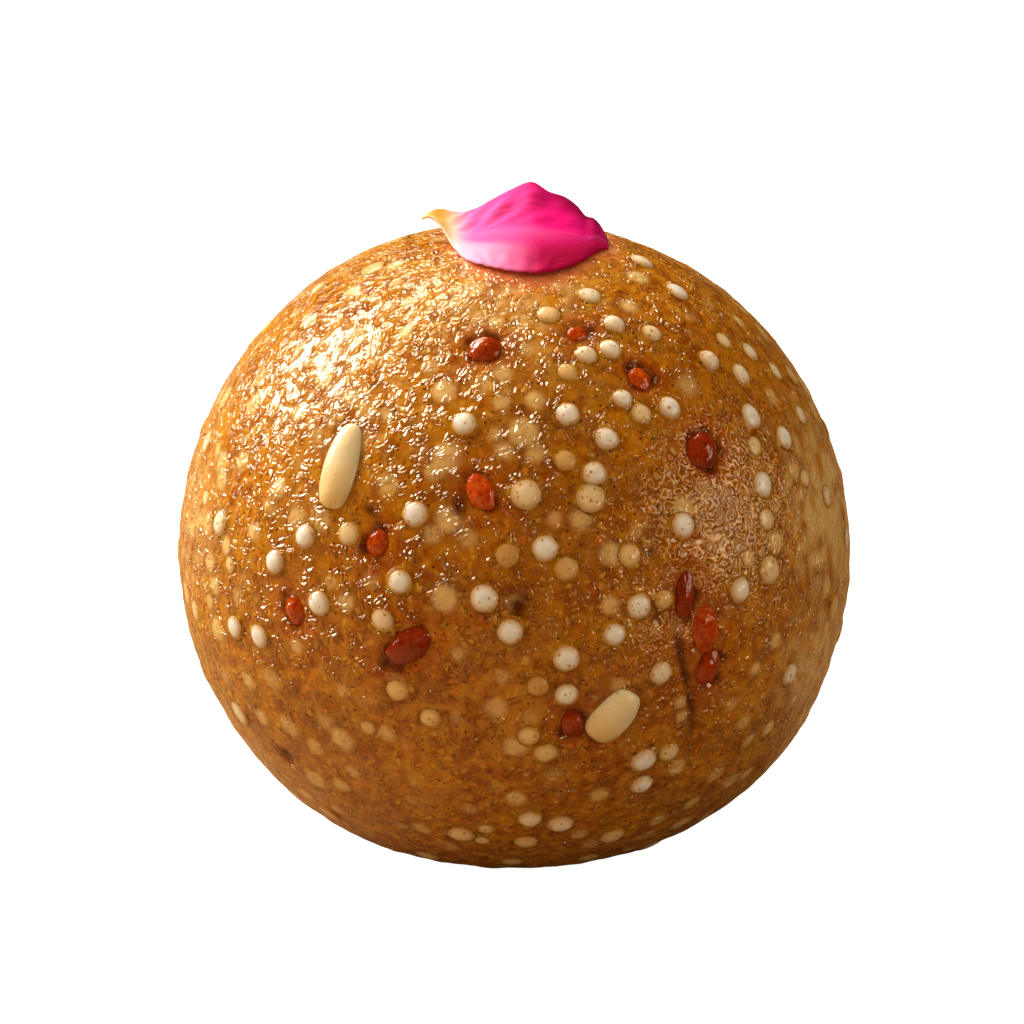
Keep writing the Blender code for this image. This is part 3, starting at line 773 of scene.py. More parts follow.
        # Painted light, laid on like the pale discs of buried pearls
        for strength, fading in self.places(PAINTED_LIGHT_PLACES, 2):
            self.deepen("glow", (strength + PALE_UNEVEN * self.uneven * strength) * fading)
        dryness = np.zeros(len(self.directions))
        for strength, fading in self.places(DRY_PLACES):
            dryness = np.maximum(dryness, strength * fading)
        for index, direction in enumerate(self.directions):
            patch = noise.noise(Vector(direction) * PATCHES_PER_RADIUS + Vector((4, 4, 1)))
            hidden = max(0.0, -Vector(direction).dot(TO_VIEWER))
            dryness[index] += DRY_BEHIND * hidden * max(0.0, patch + 0.1)
        self.masks["film"] = np.clip(1 - dryness, 0, 1)
        # Painted shade that darkens the dough towards the side behind
        self.masks["tan"] = eased(-self.directions @ np.array(TO_VIEWER) / 0.9)

    def paint_petal_light(self):
        """Painted pink light on the skin under the petal and just before it."""
        x, y, z = (self.directions * BALL_RADIUS / MM).T
        edge = np.interp(x, [row[0] for row in PETAL_STATIONS], [row[1] for row in PETAL_STATIONS])
        before = np.clip(edge - y, 0, None)
        inside = eased((x - PETAL_LIGHT_LEFT) / 2.5) * eased((PETAL_LIGHT_RIGHT - x) / 2.0)
        on_top = (z > 0) & (y < 3)
        self.masks["petal_light"] = np.where(on_top, inside * mound(before, PETAL_LIGHT_REACH), 0)

    def points(self):
        base = np.array([skin(Vector(direction)) for direction in self.directions])
        return base + self.directions * self.rise[:, None]


def dough_builder(pearls, kernels, fruit, buried):
    """The ball's skin: a very finely cut cube blown up to the skin, cut off flat underneath."""
    made = bmesh.new()
    bmesh.ops.create_cube(made, size=2)
    bmesh.ops.subdivide_edges(made, edges=made.edges[:], cuts=BALL_CUTS, use_grid_fill=True)
    corners = np.array([vertex.co for vertex in made.verts])
    spread = np.tan(corners * math.pi / 4)
    dough = Dough(spread / np.linalg.norm(spread, axis=1)[:, None])
    dough.add_lumps()
    dough.add_buried(buried)
    dough.spread_film()
    dough.paint_petal_light()
    dough.settle_pearls(pearls)
    for direction, turn, length, width, *_ in kernels:
        dough.settle_long(direction, turn, length, width, KERNEL_DIP, KERNEL_SHADE)
    for piece in fruit:
        dough.settle_fruit(*piece)
    dough.open_split()
    dough.press_pits()
    layers = [(made.verts.layers.float.new(name), dough.masks[name]) for name in dough.masks]
    for vertex, point in zip(made.verts, dough.points()):
        vertex.co = point
        for layer, values in layers:
            vertex[layer] = values[vertex.index]
    everything = made.verts[:] + made.edges[:] + made.faces[:]
    cut = bmesh.ops.bisect_plane(
        made, geom=everything, plane_co=(0, 0, 0), plane_no=(0, 0, 1), clear_inner=True
    )
    rim = [part for part in cut["geom_cut"] if isinstance(part, bmesh.types.BMEdge)]
    bmesh.ops.edgeloop_fill(made, edges=rim)
    bmesh.ops.recalc_face_normals(made, faces=made.faces[:])
    return made


# ---------------------------------------------------------------- the pearls


def pearl_profile(width, height):
    """Half a pearl cut down the middle, as (radius, level, collar) from near its top to its foot.

    The collar value runs from 0 at the top to 0.5 where the dome ends in the syrup that the wet
    dough draws up against it, and is 1 where that runs out.
    """
    rim = width * PEARL_RIM
    half_height = height / (1 - PEARL_SUNK)
    half_width = rim / math.sqrt(1 - PEARL_SUNK**2)
    climb = height * PEARL_CLIMB
    lowest = math.acos(PEARL_SUNK + climb / half_height)
    rows = []
    for ring in range(1, PEARL_RINGS + 1):
        angle = lowest * ring / PEARL_RINGS
        radius = half_width * math.sin(angle)
        level = half_height * (math.cos(angle) - PEARL_SUNK)
        rows.append((radius, level, 0.5 * ring / PEARL_RINGS))
    edge = rows[-1][0]
    for share in COLLAR_RINGS:
        radius = edge + (rim + PEARL_COLLAR - edge) * share
        level = climb * (1 - share) ** 2 - COLLAR_SINK * share
        rows.append((radius, level - radius**2 / BALL_RADIUS / 2 * share, 0.5 + 0.5 * share))
    rows.append((rim * 0.9, -PEARL_ROOT, 1.0))
    return rows


def add_pearl(made, layers, direction, width, height, tone, number):
    """One pearl turned round its axis, with its own tone and slightly uneven rim."""
    tone_layer, collar_layer = layers
    placed = set_on_skin(direction, 0, 0)
    rings = []
    for radius, level, collar in pearl_profile(width, height):
        ring = []
        for side in range(PEARL_SIDES):
            angle = 2 * math.pi * side / PEARL_SIDES
            x, y = math.cos(angle), math.sin(angle)
            reach = radius * (1 + PEARL_UNEVEN * noise.noise(Vector((x, y, number * 3.7))))
            vertex = made.verts.new(placed @ Vector((reach * x, reach * y, level)))
            vertex[tone_layer] = tone
            vertex[collar_layer] = collar
            ring.append(vertex)
        rings.append(ring)
    grid_faces(made, rings, closed=True)
    crown = made.verts.new(placed @ Vector((0, 0, height)))
    crown[tone_layer] = tone
    for side in range(PEARL_SIDES):
        made.faces.new((crown, rings[0][side], rings[0][(side + 1) % PEARL_SIDES]))
    made.faces.new(rings[-1])


def pearls_builder(pearls):
    """All the pearls, as one mesh."""
    made = bmesh.new()
    layers = [made.verts.layers.float.new(name) for name in ("tone", "collar")]
    for number, pearl in enumerate(pearls):
        add_pearl(made, layers, *pearl, number)
    bmesh.ops.recalc_face_normals(made, faces=made.faces[:])
    return made


# ---------------------------------------------------------------- kernels and red fruit


def kernel_builder(length, width, squareness, taper):
    """A seed kernel along Y: a flattened drop, or a squared bar where squareness is over 0."""
    made = bmesh.new()
    bmesh.ops.create_uvsphere(made, u_segments=48, v_segments=56, radius=1)
    bmesh.ops.rotate(made, matrix=Matrix.Rotation(math.pi / 2, 3, "X"), verts=made.verts[:])
    half = Vector((width, length, width * KERNEL_THICKNESS)) * MM / 2
    tip = made.verts.layers.float.new("tip")
    for vertex in made.verts:
        x, y, z = vertex.co
        end = math.sqrt(max(0.0, 1 - y * y))
        # A squared bar keeps most of its width up to its ends.
        fuller = end ** (1 - squareness) if end > 0 else 0.0
        widen = fuller / end if end > 0 else 1.0
        slim = 1 - taper * y
        place = Vector((x * 1.3, y * 2.1, z * 1.3)) + Vector((length, 0, 0))
        dent = 1 + KERNEL_UNEVEN * noise.noise(place)
        shaped = Vector((x * widen * slim * half.x, y * half.y, z * widen * slim * half.z))
        vertex.co = shaped * dent
        vertex[tip] = (y + 1) / 2
    return made


def fruit_builder(length, width, number):
    """A bit of dried fruit along Y, shrunk into folds and fine wrinkles."""
    made = bmesh.new()
    bmesh.ops.create_icosphere(made, subdivisions=5, radius=1)
    half = Vector((width, length, width * FRUIT_THICKNESS)) * MM / 2
    for vertex in made.verts:
        place = vertex.co.copy()
        dent = noise.noise(place * 1.7 + Vector((number * 5.3, 0, 0)))
        size = 1.03 + FRUIT_DENT * dent
        for across, along, shift, depth in FRUIT_FOLDS:
            stretched = Vector((place.x * across, place.y * along, place.z * across))
            size -= depth * abs(noise.noise(stretched + Vector((0, number * shift, 0))))
        vertex.co = Vector(a * b for a, b in zip(place * size, half))
    return made


# ---------------------------------------------------------------- the petal


def petal_row(place):
    """The petal's station at a place along it, from 0 to 1, on a smooth curve through them all."""
    last = len(PETAL_STATIONS) - 1
    index = min(int(place * last), last - 1)
    share = place * last - index
    rows = [PETAL_STATIONS[min(max(index + step, 0), last)] for step in (-1, 0, 1, 2)]
    square, cube = share * share, share**3
    weights = (
        (-cube + 2 * square - share) / 2,
        (3 * cube - 5 * square + 2) / 2,
        (-3 * cube + 4 * square + share) / 2,
        (cube - square) / 2,
    )
    return [sum(w * row[i] for w, row in zip(weights, rows)) * MM for i in range(5)]


def petal_point(place, side):
    """The underside of the petal: place runs from claw to lobes, side from near to far edge."""
    x, near_y, near_lift, far_y, far_lift = petal_row(place)
    y = near_y + (far_y - near_y) * side
    rise = 1 + (PETAL_RISE - 1) * min(1.0, 3 * place)
    lift = near_lift * (1 - side) ** rise + far_lift * side**rise
    wave = PETAL_WAVE * math.sin(11 * place + 5 * side) * side
    return Vector((x, y, skin_above(x, y) + PETAL_REST + lift + wave))


def fan_angle(place, side):
    """The direction of a point of the petal from its foot: 0 along it and positive to the far side."""
    return math.atan2((side - PETAL_FOOT_SIDE) * PETAL_FAN, place - PETAL_FOOT)


def petal_relief(place, side):
    """Folds fanning out from the foot, the rib along the middle and the frilled near edge."""
    angle = fan_angle(place, side)
    uneven = noise.noise(Vector((place * 3, side * 4, 1)))
    inner = min(1.0, 5 * side, 5 * (1 - side)) * min(1.0, 4 * max(0.0, 0.95 - place))
    beyond_foot = min(1.0, max(0.0, place - 0.18) * 4)
    folds = FOLD_HEIGHT * math.sin(FOLDS_IN_FAN * angle + 1.3 * uneven) * inner * beyond_foot
    # Soft ridges that leave the rib slantwise on its far side
    beyond = side - PETAL_FOOT_SIDE
    slant = math.sin(2 * math.pi * (place - 0.38 * beyond + 0.03 * uneven) / RIDGE_SPACING)
    slant_zone = math.exp(-(((place - 0.46) / 0.17) ** 2)) * min(1.0, max(0.0, beyond - 0.04) * 6)
    folds += RIDGE_HEIGHT * slant * slant_zone * inner
    away = side - PETAL_FOOT_SIDE + 0.06 * place
    rib = RIB_HEIGHT * math.exp(-((away / RIB_WIDTH) ** 2))
    rib *= min(1, place * 3) * min(1, 4 * (1 - place))
    frill_zone = math.exp(-((side / 0.16) ** 2)) * math.exp(-(((place - 0.50) / 0.20) ** 2))
    frill = FRILL_HEIGHT * frill_zone * noise.noise(Vector((place * 34, side * 9, 5)))
    return (folds + rib + frill) * MM


def petal_builder():
    """A thin sheet with both faces, that lies on the front of the ball's top and lifts behind."""
    made = bmesh.new()
    layers = [made.verts.layers.float.new(name) for name in ("place", "side")]
    faces = []
    for face in (0, 1):
        rows = []
        for i in range(PETAL_STEPS_LONG + 1):
            place = i / PETAL_STEPS_LONG
            row = []
            for j in range(PETAL_STEPS_ACROSS + 1):
                side = j / PETAL_STEPS_ACROSS
                inner = min(1.0, 6 * min(side, 1 - side)) * min(1.0, 8 * min(place, 1 - place))
                thick = PETAL_EDGE + (PETAL_THICKNESS - PETAL_EDGE) * math.sqrt(inner)
                point = petal_point(place, side)
                point.z += petal_relief(place, side) + thick * face
                vertex = made.verts.new(point)
                vertex[layers[0]] = place
                vertex[layers[1]] = side
                row.append(vertex)
            rows.append(row)
        grid_faces(made, rows, closed=False)
        faces.append(rows)
    near_edges = [[row[0] for row in rows] for rows in faces]
    far_edges = [[row[-1] for row in rows] for rows in faces]
    claws = [rows[0] for rows in faces]
    lobes = [rows[-1] for rows in faces]
    for pair in (near_edges, far_edges, claws, lobes):
        grid_faces(made, pair, closed=False)
    bmesh.ops.recalc_face_normals(made, faces=made.faces[:])
    return made


# ---------------------------------------------------------------- helpers for materials


class Graph:
    """The nodes of one material or group, added by plain calls that give back their sockets."""

    def __init__(self, tree):
        self.tree = tree

    def feed(self, sockets, values):
        """Feeds a node's inputs, by name or number, from other sockets or with plain values."""
        for name, value in values.items():
            if isinstance(value, bpy.types.NodeSocket):
                self.tree.links.new(value, sockets[name])
            else:
                sockets[name].default_value = value

    def node(self, kind, inputs=None, **settings):
        made = self.tree.nodes.new(kind)
        for name, value in settings.items():
            setattr(made, name, value)
        self.feed(made.inputs, inputs or {})
        return made

    def place_mm(self):
        """Where the shaded point is, in millimetres in the ladoo's own frame."""
        where = self.node("ShaderNodeTexCoord").outputs["Object"]
        return self.scale(where, 1 / MM)

    def scale(self, vector, amount):
        inputs = {0: vector, "Scale": amount}
        return self.node("ShaderNodeVectorMath", inputs, operation="SCALE").outputs[0]

    def stretched(self, vector, scale, rotation=(0, 0, 0)):
        """A place where noise comes out this many times as long along the turned axes."""
        inputs = {"Vector": vector, "Rotation": rotation, "Scale": scale}
        return self.node("ShaderNodeMapping", inputs, vector_type="TEXTURE").outputs[0]

    def calc(self, operation, first, second=0.0, third=0.0):
        inputs = {0: first, 1: second, 2: third}
        return self.node("ShaderNodeMath", inputs, operation=operation).outputs[0]

    def times(self, first, second):
        """One value times another."""
        return self.calc("MULTIPLY", first, second)

    def times_plus(self, first, second, third):
        """One value times another, plus a third."""
        return self.calc("MULTIPLY_ADD", first, second, third)

    def step(self, value, low, high, start=0.0, end=1.0):
        """A smooth step from start to end while the value goes from low to high."""
        inputs = {0: value, 1: low, 2: high, 3: start, 4: end}
        made = self.node("ShaderNodeMapRange", inputs, interpolation_type="SMOOTHSTEP")
        return made.outputs[0]

    def blend(self, share, first, second, way="MIX"):
        """A colour between two colours."""
        inputs = {0: share, 6: colour(first), 7: colour(second)}
        return self.node("ShaderNodeMix", inputs, data_type="RGBA", blend_type=way).outputs[2]

    def layers(self, base, *laid):
        """A colour with others laid over it in turn, each as (share, colour)."""
        for share, tint in laid:
            base = self.blend(share, base, tint)
        return base

    def mix(self, share, first, second):
        """A value between two values."""
        return self.node("ShaderNodeMix", {0: share, 2: first, 3: second}).outputs[0]

    def noise(self, place, size, detail=2.0):
        """Noise with blotches about as wide as the size, in millimetres."""
        inputs = {"Vector": place, "Scale": 1 / size, "Detail": detail}
        return self.node("ShaderNodeTexNoise", inputs).outputs["Fac"]

    def cells(self, place, density, feature="F1"):
        """Rounded cells, with this many in each millimetre."""
        inputs = {"Vector": place, "Scale": density}
        return self.node("ShaderNodeTexVoronoi", inputs, feature=feature).outputs

    def three(self, vector_or_colour, kind="Color"):
        """The three parts of a colour or, for the kind XYZ, of a vector."""
        return self.node("ShaderNodeSeparate" + kind, {0: vector_or_colour}).outputs

    def mask(self, name):
        """A value that the mesh carries."""
        return self.node("ShaderNodeAttribute", attribute_name=name).outputs["Fac"]

    def group(self, tree, inputs):
        return self.node("ShaderNodeGroup", inputs, node_tree=tree).outputs

    def bumped(self, height_mm):
        """The normal of a surface whose height is given in millimetres."""
        inputs = {"Height": height_mm, "Distance": MM, "Strength": 1.0}
        return self.node("ShaderNodeBump", inputs).outputs[0]


def colour(value):
    """A colour for a socket: three numbers get their alpha, and a socket stays as it is."""
    return value if isinstance(value, bpy.types.NodeSocket) else (*value, 1.0)


def new_group(name, inputs, outputs):
    """An empty shader group: its graph, its inputs and the sockets that take its outputs.

    Inputs are given with their values and outputs with their kinds. None stands for a vector.
    """
    tree = bpy.data.node_groups.new(name, "ShaderNodeTree")
    for label, value in inputs.items():
        kind = "NodeSocketVector" if value is None else "NodeSocketFloat"
        socket = tree.interface.new_socket(label, in_out="INPUT", socket_type=kind)
        if value is not None:
            socket.default_value = value
    for label, kind in outputs.items():
        tree.interface.new_socket(label, in_out="OUTPUT", socket_type="NodeSocket" + kind)
    graph = Graph(tree)
    taken = graph.node("NodeGroupInput").outputs
    given = graph.node("NodeGroupOutput").inputs
    return graph, taken, given


def new_material(name):
    """A new material: its graph, the inputs of its shader and itself."""
    made = bpy.data.materials.new(name)
    made.use_nodes = True
    graph = Graph(made.node_tree)
    return graph, made.node_tree.nodes["Principled BSDF"].inputs, made


def translucent(weight, radius, depth_mm):
    """Shader inputs for light that enters the surface: how much, how far by colour, and how deep."""
    return {
        "Subsurface Weight": weight,
        "Subsurface Radius": radius,
        "Subsurface Scale": depth_mm * MM,
    }


# ---------------------------------------------------------------- effects shared by materials


def syrup_relief_group():
    """Wet dough close up: flat-topped grains of meal with sloping sides, under rings of syrup.

    Gap is 1 between the grains and 0 on their tops, Core is 1 round the middle of each, and Draw
    is a random colour for each. Ridge runs from -1 to 1 across the rings.
    """
    outputs = {"Height": "Float", "Gap": "Float", "Core": "Float", "Draw": "Color", "Ridge": "Float"}
    inputs = {"Place": None, "Rings": 0.0, "Rough": 0.0}
    graph, taken, given = new_group("syrup relief", inputs, outputs)
    place = taken["Place"]
    field = graph.noise(place, RING_FIELD, detail=0.0)
    swell = graph.noise(place, SWELL_SIZE, detail=0.0)
    broad = graph.noise(place, 0.9, detail=0.0)
    drift = graph.node("ShaderNodeCombineXYZ", {0: broad, 1: swell, 2: field}).outputs[0]
    drifted = {0: place, 1: graph.scale(drift, GRAIN_DRIFT)}
    warped = graph.node("ShaderNodeVectorMath", drifted, operation="ADD").outputs[0]
    grain = graph.cells(warped, 1 / GRAIN_SIZE)
    edge = graph.cells(warped, 1 / GRAIN_SIZE, "DISTANCE_TO_EDGE")["Distance"]
    inward = graph.node("ShaderNodeMapRange", {0: edge, 1: 0.0, 2: GRAIN_SIDE}).outputs[0]
    stature = graph.step(broad, 0.42, 0.64, GRAIN_LOW, GRAIN_HIGH)
    stature = graph.times(stature, graph.times_plus(taken["Rough"], ROUGH_GAIN, 1.0))
    level = graph.times_plus(taken["Rings"], -RINGED_LOSS, 1.0)
    height = graph.times(inward, graph.times(stature, level))
    ridge = graph.calc("SINE", graph.times(field, 2 * math.pi * RIDGES_PER_FIELD))
    ridge_height = graph.step(taken["Rings"], 0.0, 1.0, RING_HEIGHT_LOW, RING_HEIGHT_HIGH)
    height = graph.times_plus(ridge, ridge_height, height)
    swell = graph.times(swell, graph.times_plus(level, 0.6, 0.4))
    graph.feed(given, {
        "Height": graph.times_plus(swell, SWELL_HEIGHT, height),
        "Gap": graph.step(edge, 0.0, GRAIN_SIDE, 1.0, 0.0),
        "Core": graph.step(grain["Distance"], 0.15, 0.58, 1.0, 0.0),
        "Draw": grain["Color"],
        "Ridge": ridge,
    })
    return graph.tree


def specks_group():
    """Tiny dark specks of ground spice: a mask that is 1 on a speck."""
    inputs = {"Place": None, "Spacing": 0.7, "Size": 0.12, "Share": 0.5}
    graph, taken, given = new_group("spice specks", inputs, {"Mask": "Float"})
    density = graph.calc("DIVIDE", 1.0, taken["Spacing"])
    cell = graph.cells(taken["Place"], density)
    near = graph.calc("DIVIDE", cell["Distance"], graph.times(taken["Size"], density))
    draw = graph.three(cell["Color"])
    near = graph.times(near, graph.step(draw[1], 0.0, 1.0, 0.65, 1.6))
    dot = graph.step(near, 0.6, 1.0, 1.0, 0.0)
    chosen = graph.calc("LESS_THAN", draw[0], taken["Share"])
    graph.feed(given, {"Mask": graph.times(dot, chosen)})
    return graph.tree


def blotches_group():
    """Soft uneven patches at two sizes, from 0 to 1."""
    outputs = {"Broad": "Float", "Narrow": "Float"}
    graph, taken, given = new_group("blotches", {"Place": None, "Size": 3.0}, outputs)
    density = graph.calc("DIVIDE", 1.0, taken["Size"])
    for name, scale in (("Broad", density), ("Narrow", graph.times(density, 4.3))):
        inputs = {"Vector": taken["Place"], "Scale": scale, "Detail": 2.0}
        patches = graph.node("ShaderNodeTexNoise", inputs).outputs["Fac"]
        graph.feed(given, {name: graph.step(patches, 0.36, 0.64)})
    return graph.tree


# ---------------------------------------------------------------- materials


def meal_group(relief, specks, blotches):
    """The dough's colour and height: amber with pale, orange and brown grains and spice.

    It also holds painted shade between the grains and in the troughs of the rings of syrup, and
    painted highlight lines on their crests.
    """
    inputs = {"Place": None, "Rings": 0.0, "Rough": 0.0}
    graph, taken, given = new_group("packed meal", inputs, {"Color": "Color", "Height": "Float"})
    place = taken["Place"]
    patches = graph.group(blotches, {"Place": place, "Size": 4.5})
    narrow = patches["Narrow"]
    wet = graph.group(relief, {name: taken[name] for name in inputs})
    # Where the rings of syrup get painted shade in their troughs and painted highlights on their
    # crests
    painted_ring_light = graph.step(taken["Rings"], 0.25, 0.95)
    spots = graph.group(specks, {"Place": place, **DOUGH_SPECKS})
    layers = [
        (graph.step(narrow, 0.35, 1.0, 0.0, 0.7), HONEY),
        (graph.step(narrow, 0.0, 0.4, 0.40, 0.0), TOFFEE),
        (graph.step(graph.noise(place, 3.0, detail=0.0), 0.50, 0.66, 0.0, 0.35), GREYED),
        (graph.times(taken["Rough"], 0.28), BURNT),
    ]
    # Some grains are pale, some orange and some brown, each kind by a draw of its own, as
    # (least draw, strength, colour).
    kinds = ((0.50, 0.8, PALE_GRAIN), (0.70, 0.8, ORANGE_GRAIN), (0.60, 0.7, BROWN_GRAIN))
    for draw, (least, strength, tint) in zip(graph.three(wet["Draw"]), kinds):
        chosen = graph.times(graph.step(draw, least, 1.0), wet["Core"])
        layers.append((graph.times(chosen, strength), tint))
    layers += [
        # Painted shade in the gaps between grains
        (graph.times(wet["Gap"], 0.25), GRAIN_GAP_SHADE),
        # Painted shade in the ring troughs and painted highlight lines on the ring crests
        (graph.times(graph.step(wet["Ridge"], -0.9, 0.1, 0.6, 0.0), painted_ring_light), PAINTED_RING_SHADE),
        (graph.times(graph.step(wet["Ridge"], 0.60, 0.95, 0.0, 0.75), painted_ring_light), PAINTED_RING_HIGHLIGHT),
        (graph.times(spots["Mask"], 0.9), SPICE),
    ]
    base = graph.blend(patches["Broad"], AMBER, GOLD)
    graph.feed(given, {"Color": graph.layers(base, *layers), "Height": wet["Height"]})
    return graph.tree


def dough_material(meal):
    """Amber dough, translucent and wet, with pale pearls under its skin, painted light in pale
    places and from the petal, and painted shade in its hollows and on the side behind.
    """
    graph, shader, made = new_material("syrupy dough")
    place = graph.place_mm()
    film = graph.mask("film")
    inputs = {"Place": place, "Rings": graph.mask("rings"), "Rough": graph.mask("rough")}
    packed = graph.group(meal, inputs)
    # Painted shade, multiplied in towards the side behind
    back_shade = graph.times(graph.mask("tan"), 0.55)
    base = graph.layers(
        graph.blend(back_shade, packed["Color"], BACK_SHADE, "MULTIPLY"),
        # Pale discs of buried pearls, with painted light in the pale places
        (graph.step(graph.mask("glow"), 0.0, 0.75, 0.0, 0.85), SEEN_PEARL_AND_PAINTED_LIGHT),
        # Painted pink light from the petal
        (graph.times(graph.mask("petal_light"), 0.7), PAINTED_PETAL_LIGHT),
        (graph.times(graph.mask("bleed"), 0.6), STAIN),
        # Painted shade in hollows
        (graph.step(graph.mask("crease"), 0.0, 1.0, 0.0, 0.95), HOLLOW_SHADE),
    )
    palm = graph.stretched(place, (WRINKLE_LENGTH, 1.0, 1.0), (0, WRINKLE_SLANT, 0))
    wrinkles = graph.times(graph.noise(palm, WRINKLE_WIDTH, detail=0.0), WRINKLE_HEIGHT)
    height = graph.times(packed["Height"], graph.step(film, 0.0, 1.0, 0.85, 1.0))
    height = graph.times_plus(wrinkles, graph.step(film, 0.0, 1.0, 1.0, 0.0), height)
    graph.feed(shader, {
        "Base Color": base,
        "Roughness": graph.step(film, 0.0, 1.0, 0.13, 0.03),
        "Normal": graph.bumped(height),
        "Specular IOR Level": 1.0,
        "Specular Tint": (1.0, 0.91, 0.76, 1.0),
        **translucent(0.75, (1.0, 0.42, 0.14), 1.2),
    })
    return made


def pearl_material(specks, meal):
    """Boiled sago: milky and translucent, glossy, with a few spice specks stuck in it."""
    graph, shader, made = new_material("sago pearl")
    place = graph.place_mm()
    tone, collar = graph.mask("tone"), graph.mask("collar")
    cloud = graph.noise(place, 0.9, detail=1.0)
    spots = graph.group(specks, {"Place": place, **PEARL_SPECKS})
    packed = graph.group(meal, {"Place": place})
    outside = graph.step(collar, 0.46, 0.60)
    base = graph.layers(
        graph.blend(graph.step(tone, 0.0, 0.55), PEARL_TINTED, PEARL_CREAM),
        (graph.step(tone, 0.5, 0.85), PEARL_WHITE),
        (graph.step(cloud, 0.45, 0.75, 0.0, 0.25), PEARL_CLOUD),
        (graph.step(collar, 0.18, 0.5, 0.0, 0.8), PEARL_FOOT),
        (graph.times(spots["Mask"], 0.9), PEARL_SPICE),
        (outside, packed["Color"]),
    )
    height = graph.mix(outside, graph.times(cloud, 0.05), packed["Height"])
    graph.feed(shader, {
        "Base Color": base,
        "Roughness": graph.step(cloud, 0.3, 0.7, 0.05, 0.10),
        "Normal": graph.bumped(height),
        **translucent(0.8, (1.0, 0.75, 0.45), 0.40),
    })
    return made


def kernel_material(specks):
    """A peeled melon seed: ivory, waxy and smooth, a little darker towards its root."""
    graph, shader, made = new_material("melon seed kernel")
    place = graph.place_mm()
    cloud = graph.noise(place, 1.2)
    spots = graph.group(specks, {"Place": place, **KERNEL_SPECKS})
    base = graph.layers(
        graph.blend(graph.step(graph.mask("tip"), 0.05, 0.7), KERNEL_ROOT, KERNEL_BODY),
        (graph.step(cloud, 0.4, 0.7, 0.0, 0.4), KERNEL_CLOUD),
        (graph.times(spots["Mask"], 0.8), KERNEL_SPICE),
    )
    grain = graph.noise(place, 0.35, detail=1.0)
    graph.feed(shader, {
        "Base Color": base,
        "Roughness": graph.step(cloud, 0.3, 0.7, 0.10, 0.22),
        "Normal": graph.bumped(graph.times(grain, 0.03)),
        **translucent(0.8, (1.0, 0.7, 0.4), 0.5),
    })
    return made


def fruit_material(blotches, brightness):
    """Dried red fruit soaked in syrup: dark in its folds, orange-red where light comes through."""
    graph, shader, made = new_material(f"dried red fruit {brightness:.2f}")
    place = graph.place_mm()
    patches = graph.group(blotches, {"Place": place, "Size": 1.4})
    dark = graph.blend(patches["Broad"], *FRUIT_DARK)
    bright = graph.blend(patches["Narrow"], *FRUIT_BRIGHT)
    streaks = graph.noise(graph.stretched(place, (1.0, 1.0, 3.0)), 0.40, detail=1.0)
    graph.feed(shader, {
        "Base Color": graph.blend(brightness, dark, bright),
        "Roughness": graph.step(streaks, 0.3, 0.7, 0.05, 0.12),
        "Normal": graph.bumped(graph.times(streaks, 0.09)),
        "Coat Weight": 0.4,
        "Coat Roughness": 0.04,
        **translucent(0.4, (1.0, 0.2, 0.1), 0.30),
    })
    return made


def petal_material():
    """A rose petal: yellow claw, pale foot, hot pink blade, dark lobes and fine fanning veins.

    The dark lobes, the far fold and the right of the near flap are painted shade, and the light line
    along the rib is a painted highlight.
    """
    graph, shader, made = new_material("rose petal")
    place, side = graph.mask("place"), graph.mask("side")
    off_foot = graph.calc("SUBTRACT", place, PETAL_FOOT)
    off_rib = graph.calc("SUBTRACT", side, PETAL_FOOT_SIDE)
    angle = graph.calc("ARCTAN2", graph.times(off_rib, PETAL_FAN), off_foot)
    fan = {0: graph.times(place, 3.0), 1: graph.times(angle, 16.0)}
    veins = graph.node("ShaderNodeCombineXYZ", fan).outputs[0]
    streak = graph.noise(veins, 1.0, detail=3.0)
    fine = graph.noise(veins, 0.35)

    # Painted shade on the fold of the far edge
    far = graph.times(graph.step(side, 0.66, 1.0), graph.step(place, 0.52, 0.70, 0.0, 0.9))
    flap = graph.step(side, 0.20, 0.36, 1.0, 0.0)
    drop = graph.calc("ABSOLUTE", graph.times_plus(place, 0.06, off_rib))
    # A painted highlight along the rib
    rib = graph.times(graph.step(drop, 0.0, 0.12, 0.55, 0.0), graph.step(place, 0.40, 0.75, 1.0, 0.15))
    claw = graph.times(graph.step(place, 0.16, 0.33, 1.0, 0.0), graph.step(side, 0.0, 0.35, 0.5, 1.0))
    base = graph.layers(
        graph.blend(graph.step(place, 0.30, 0.64), PETAL_PINK, PETAL_HOT_PINK),
        (graph.step(place, 0.72, 0.97, 0.0, 0.9), PETAL_LOBE_SHADE),
        # Painted shade on the lobes
        (far, PETAL_FAR_FOLD_SHADE),
        (graph.step(streak, 0.52, 0.72, 0.0, 0.25), PETAL_PALE_VEIN),
        (graph.step(streak, 0.32, 0.48, 0.45, 0.0), PETAL_DARK_VEIN),
        # Painted shade on the right of the near flap
        (graph.times(flap, graph.step(place, 0.46, 0.64, 0.0, 0.9)), PETAL_FLAP_SHADE),
        (graph.times(flap, graph.step(place, 0.32, 0.60, 0.85, 0.0)), PETAL_PALE_FLAP),
        (rib, PETAL_RIB_HIGHLIGHT),
        (graph.step(place, 0.20, 0.38, 0.9, 0.0), PETAL_PALE_FOOT),
        (claw, PETAL_CLAW),
        (graph.step(place, 0.0, 0.08, 0.6, 0.0), PETAL_TIP),
    )
    graph.feed(shader, {
        "Base Color": base,
        "Roughness": graph.step(fine, 0.3, 0.7, 0.42, 0.55),
        "Normal": graph.bumped(graph.times(fine, 0.05)),
        "Specular IOR Level": 0.05,
        **translucent(0.6, (1.0, 0.25, 0.5), 0.35),
    })
    return made


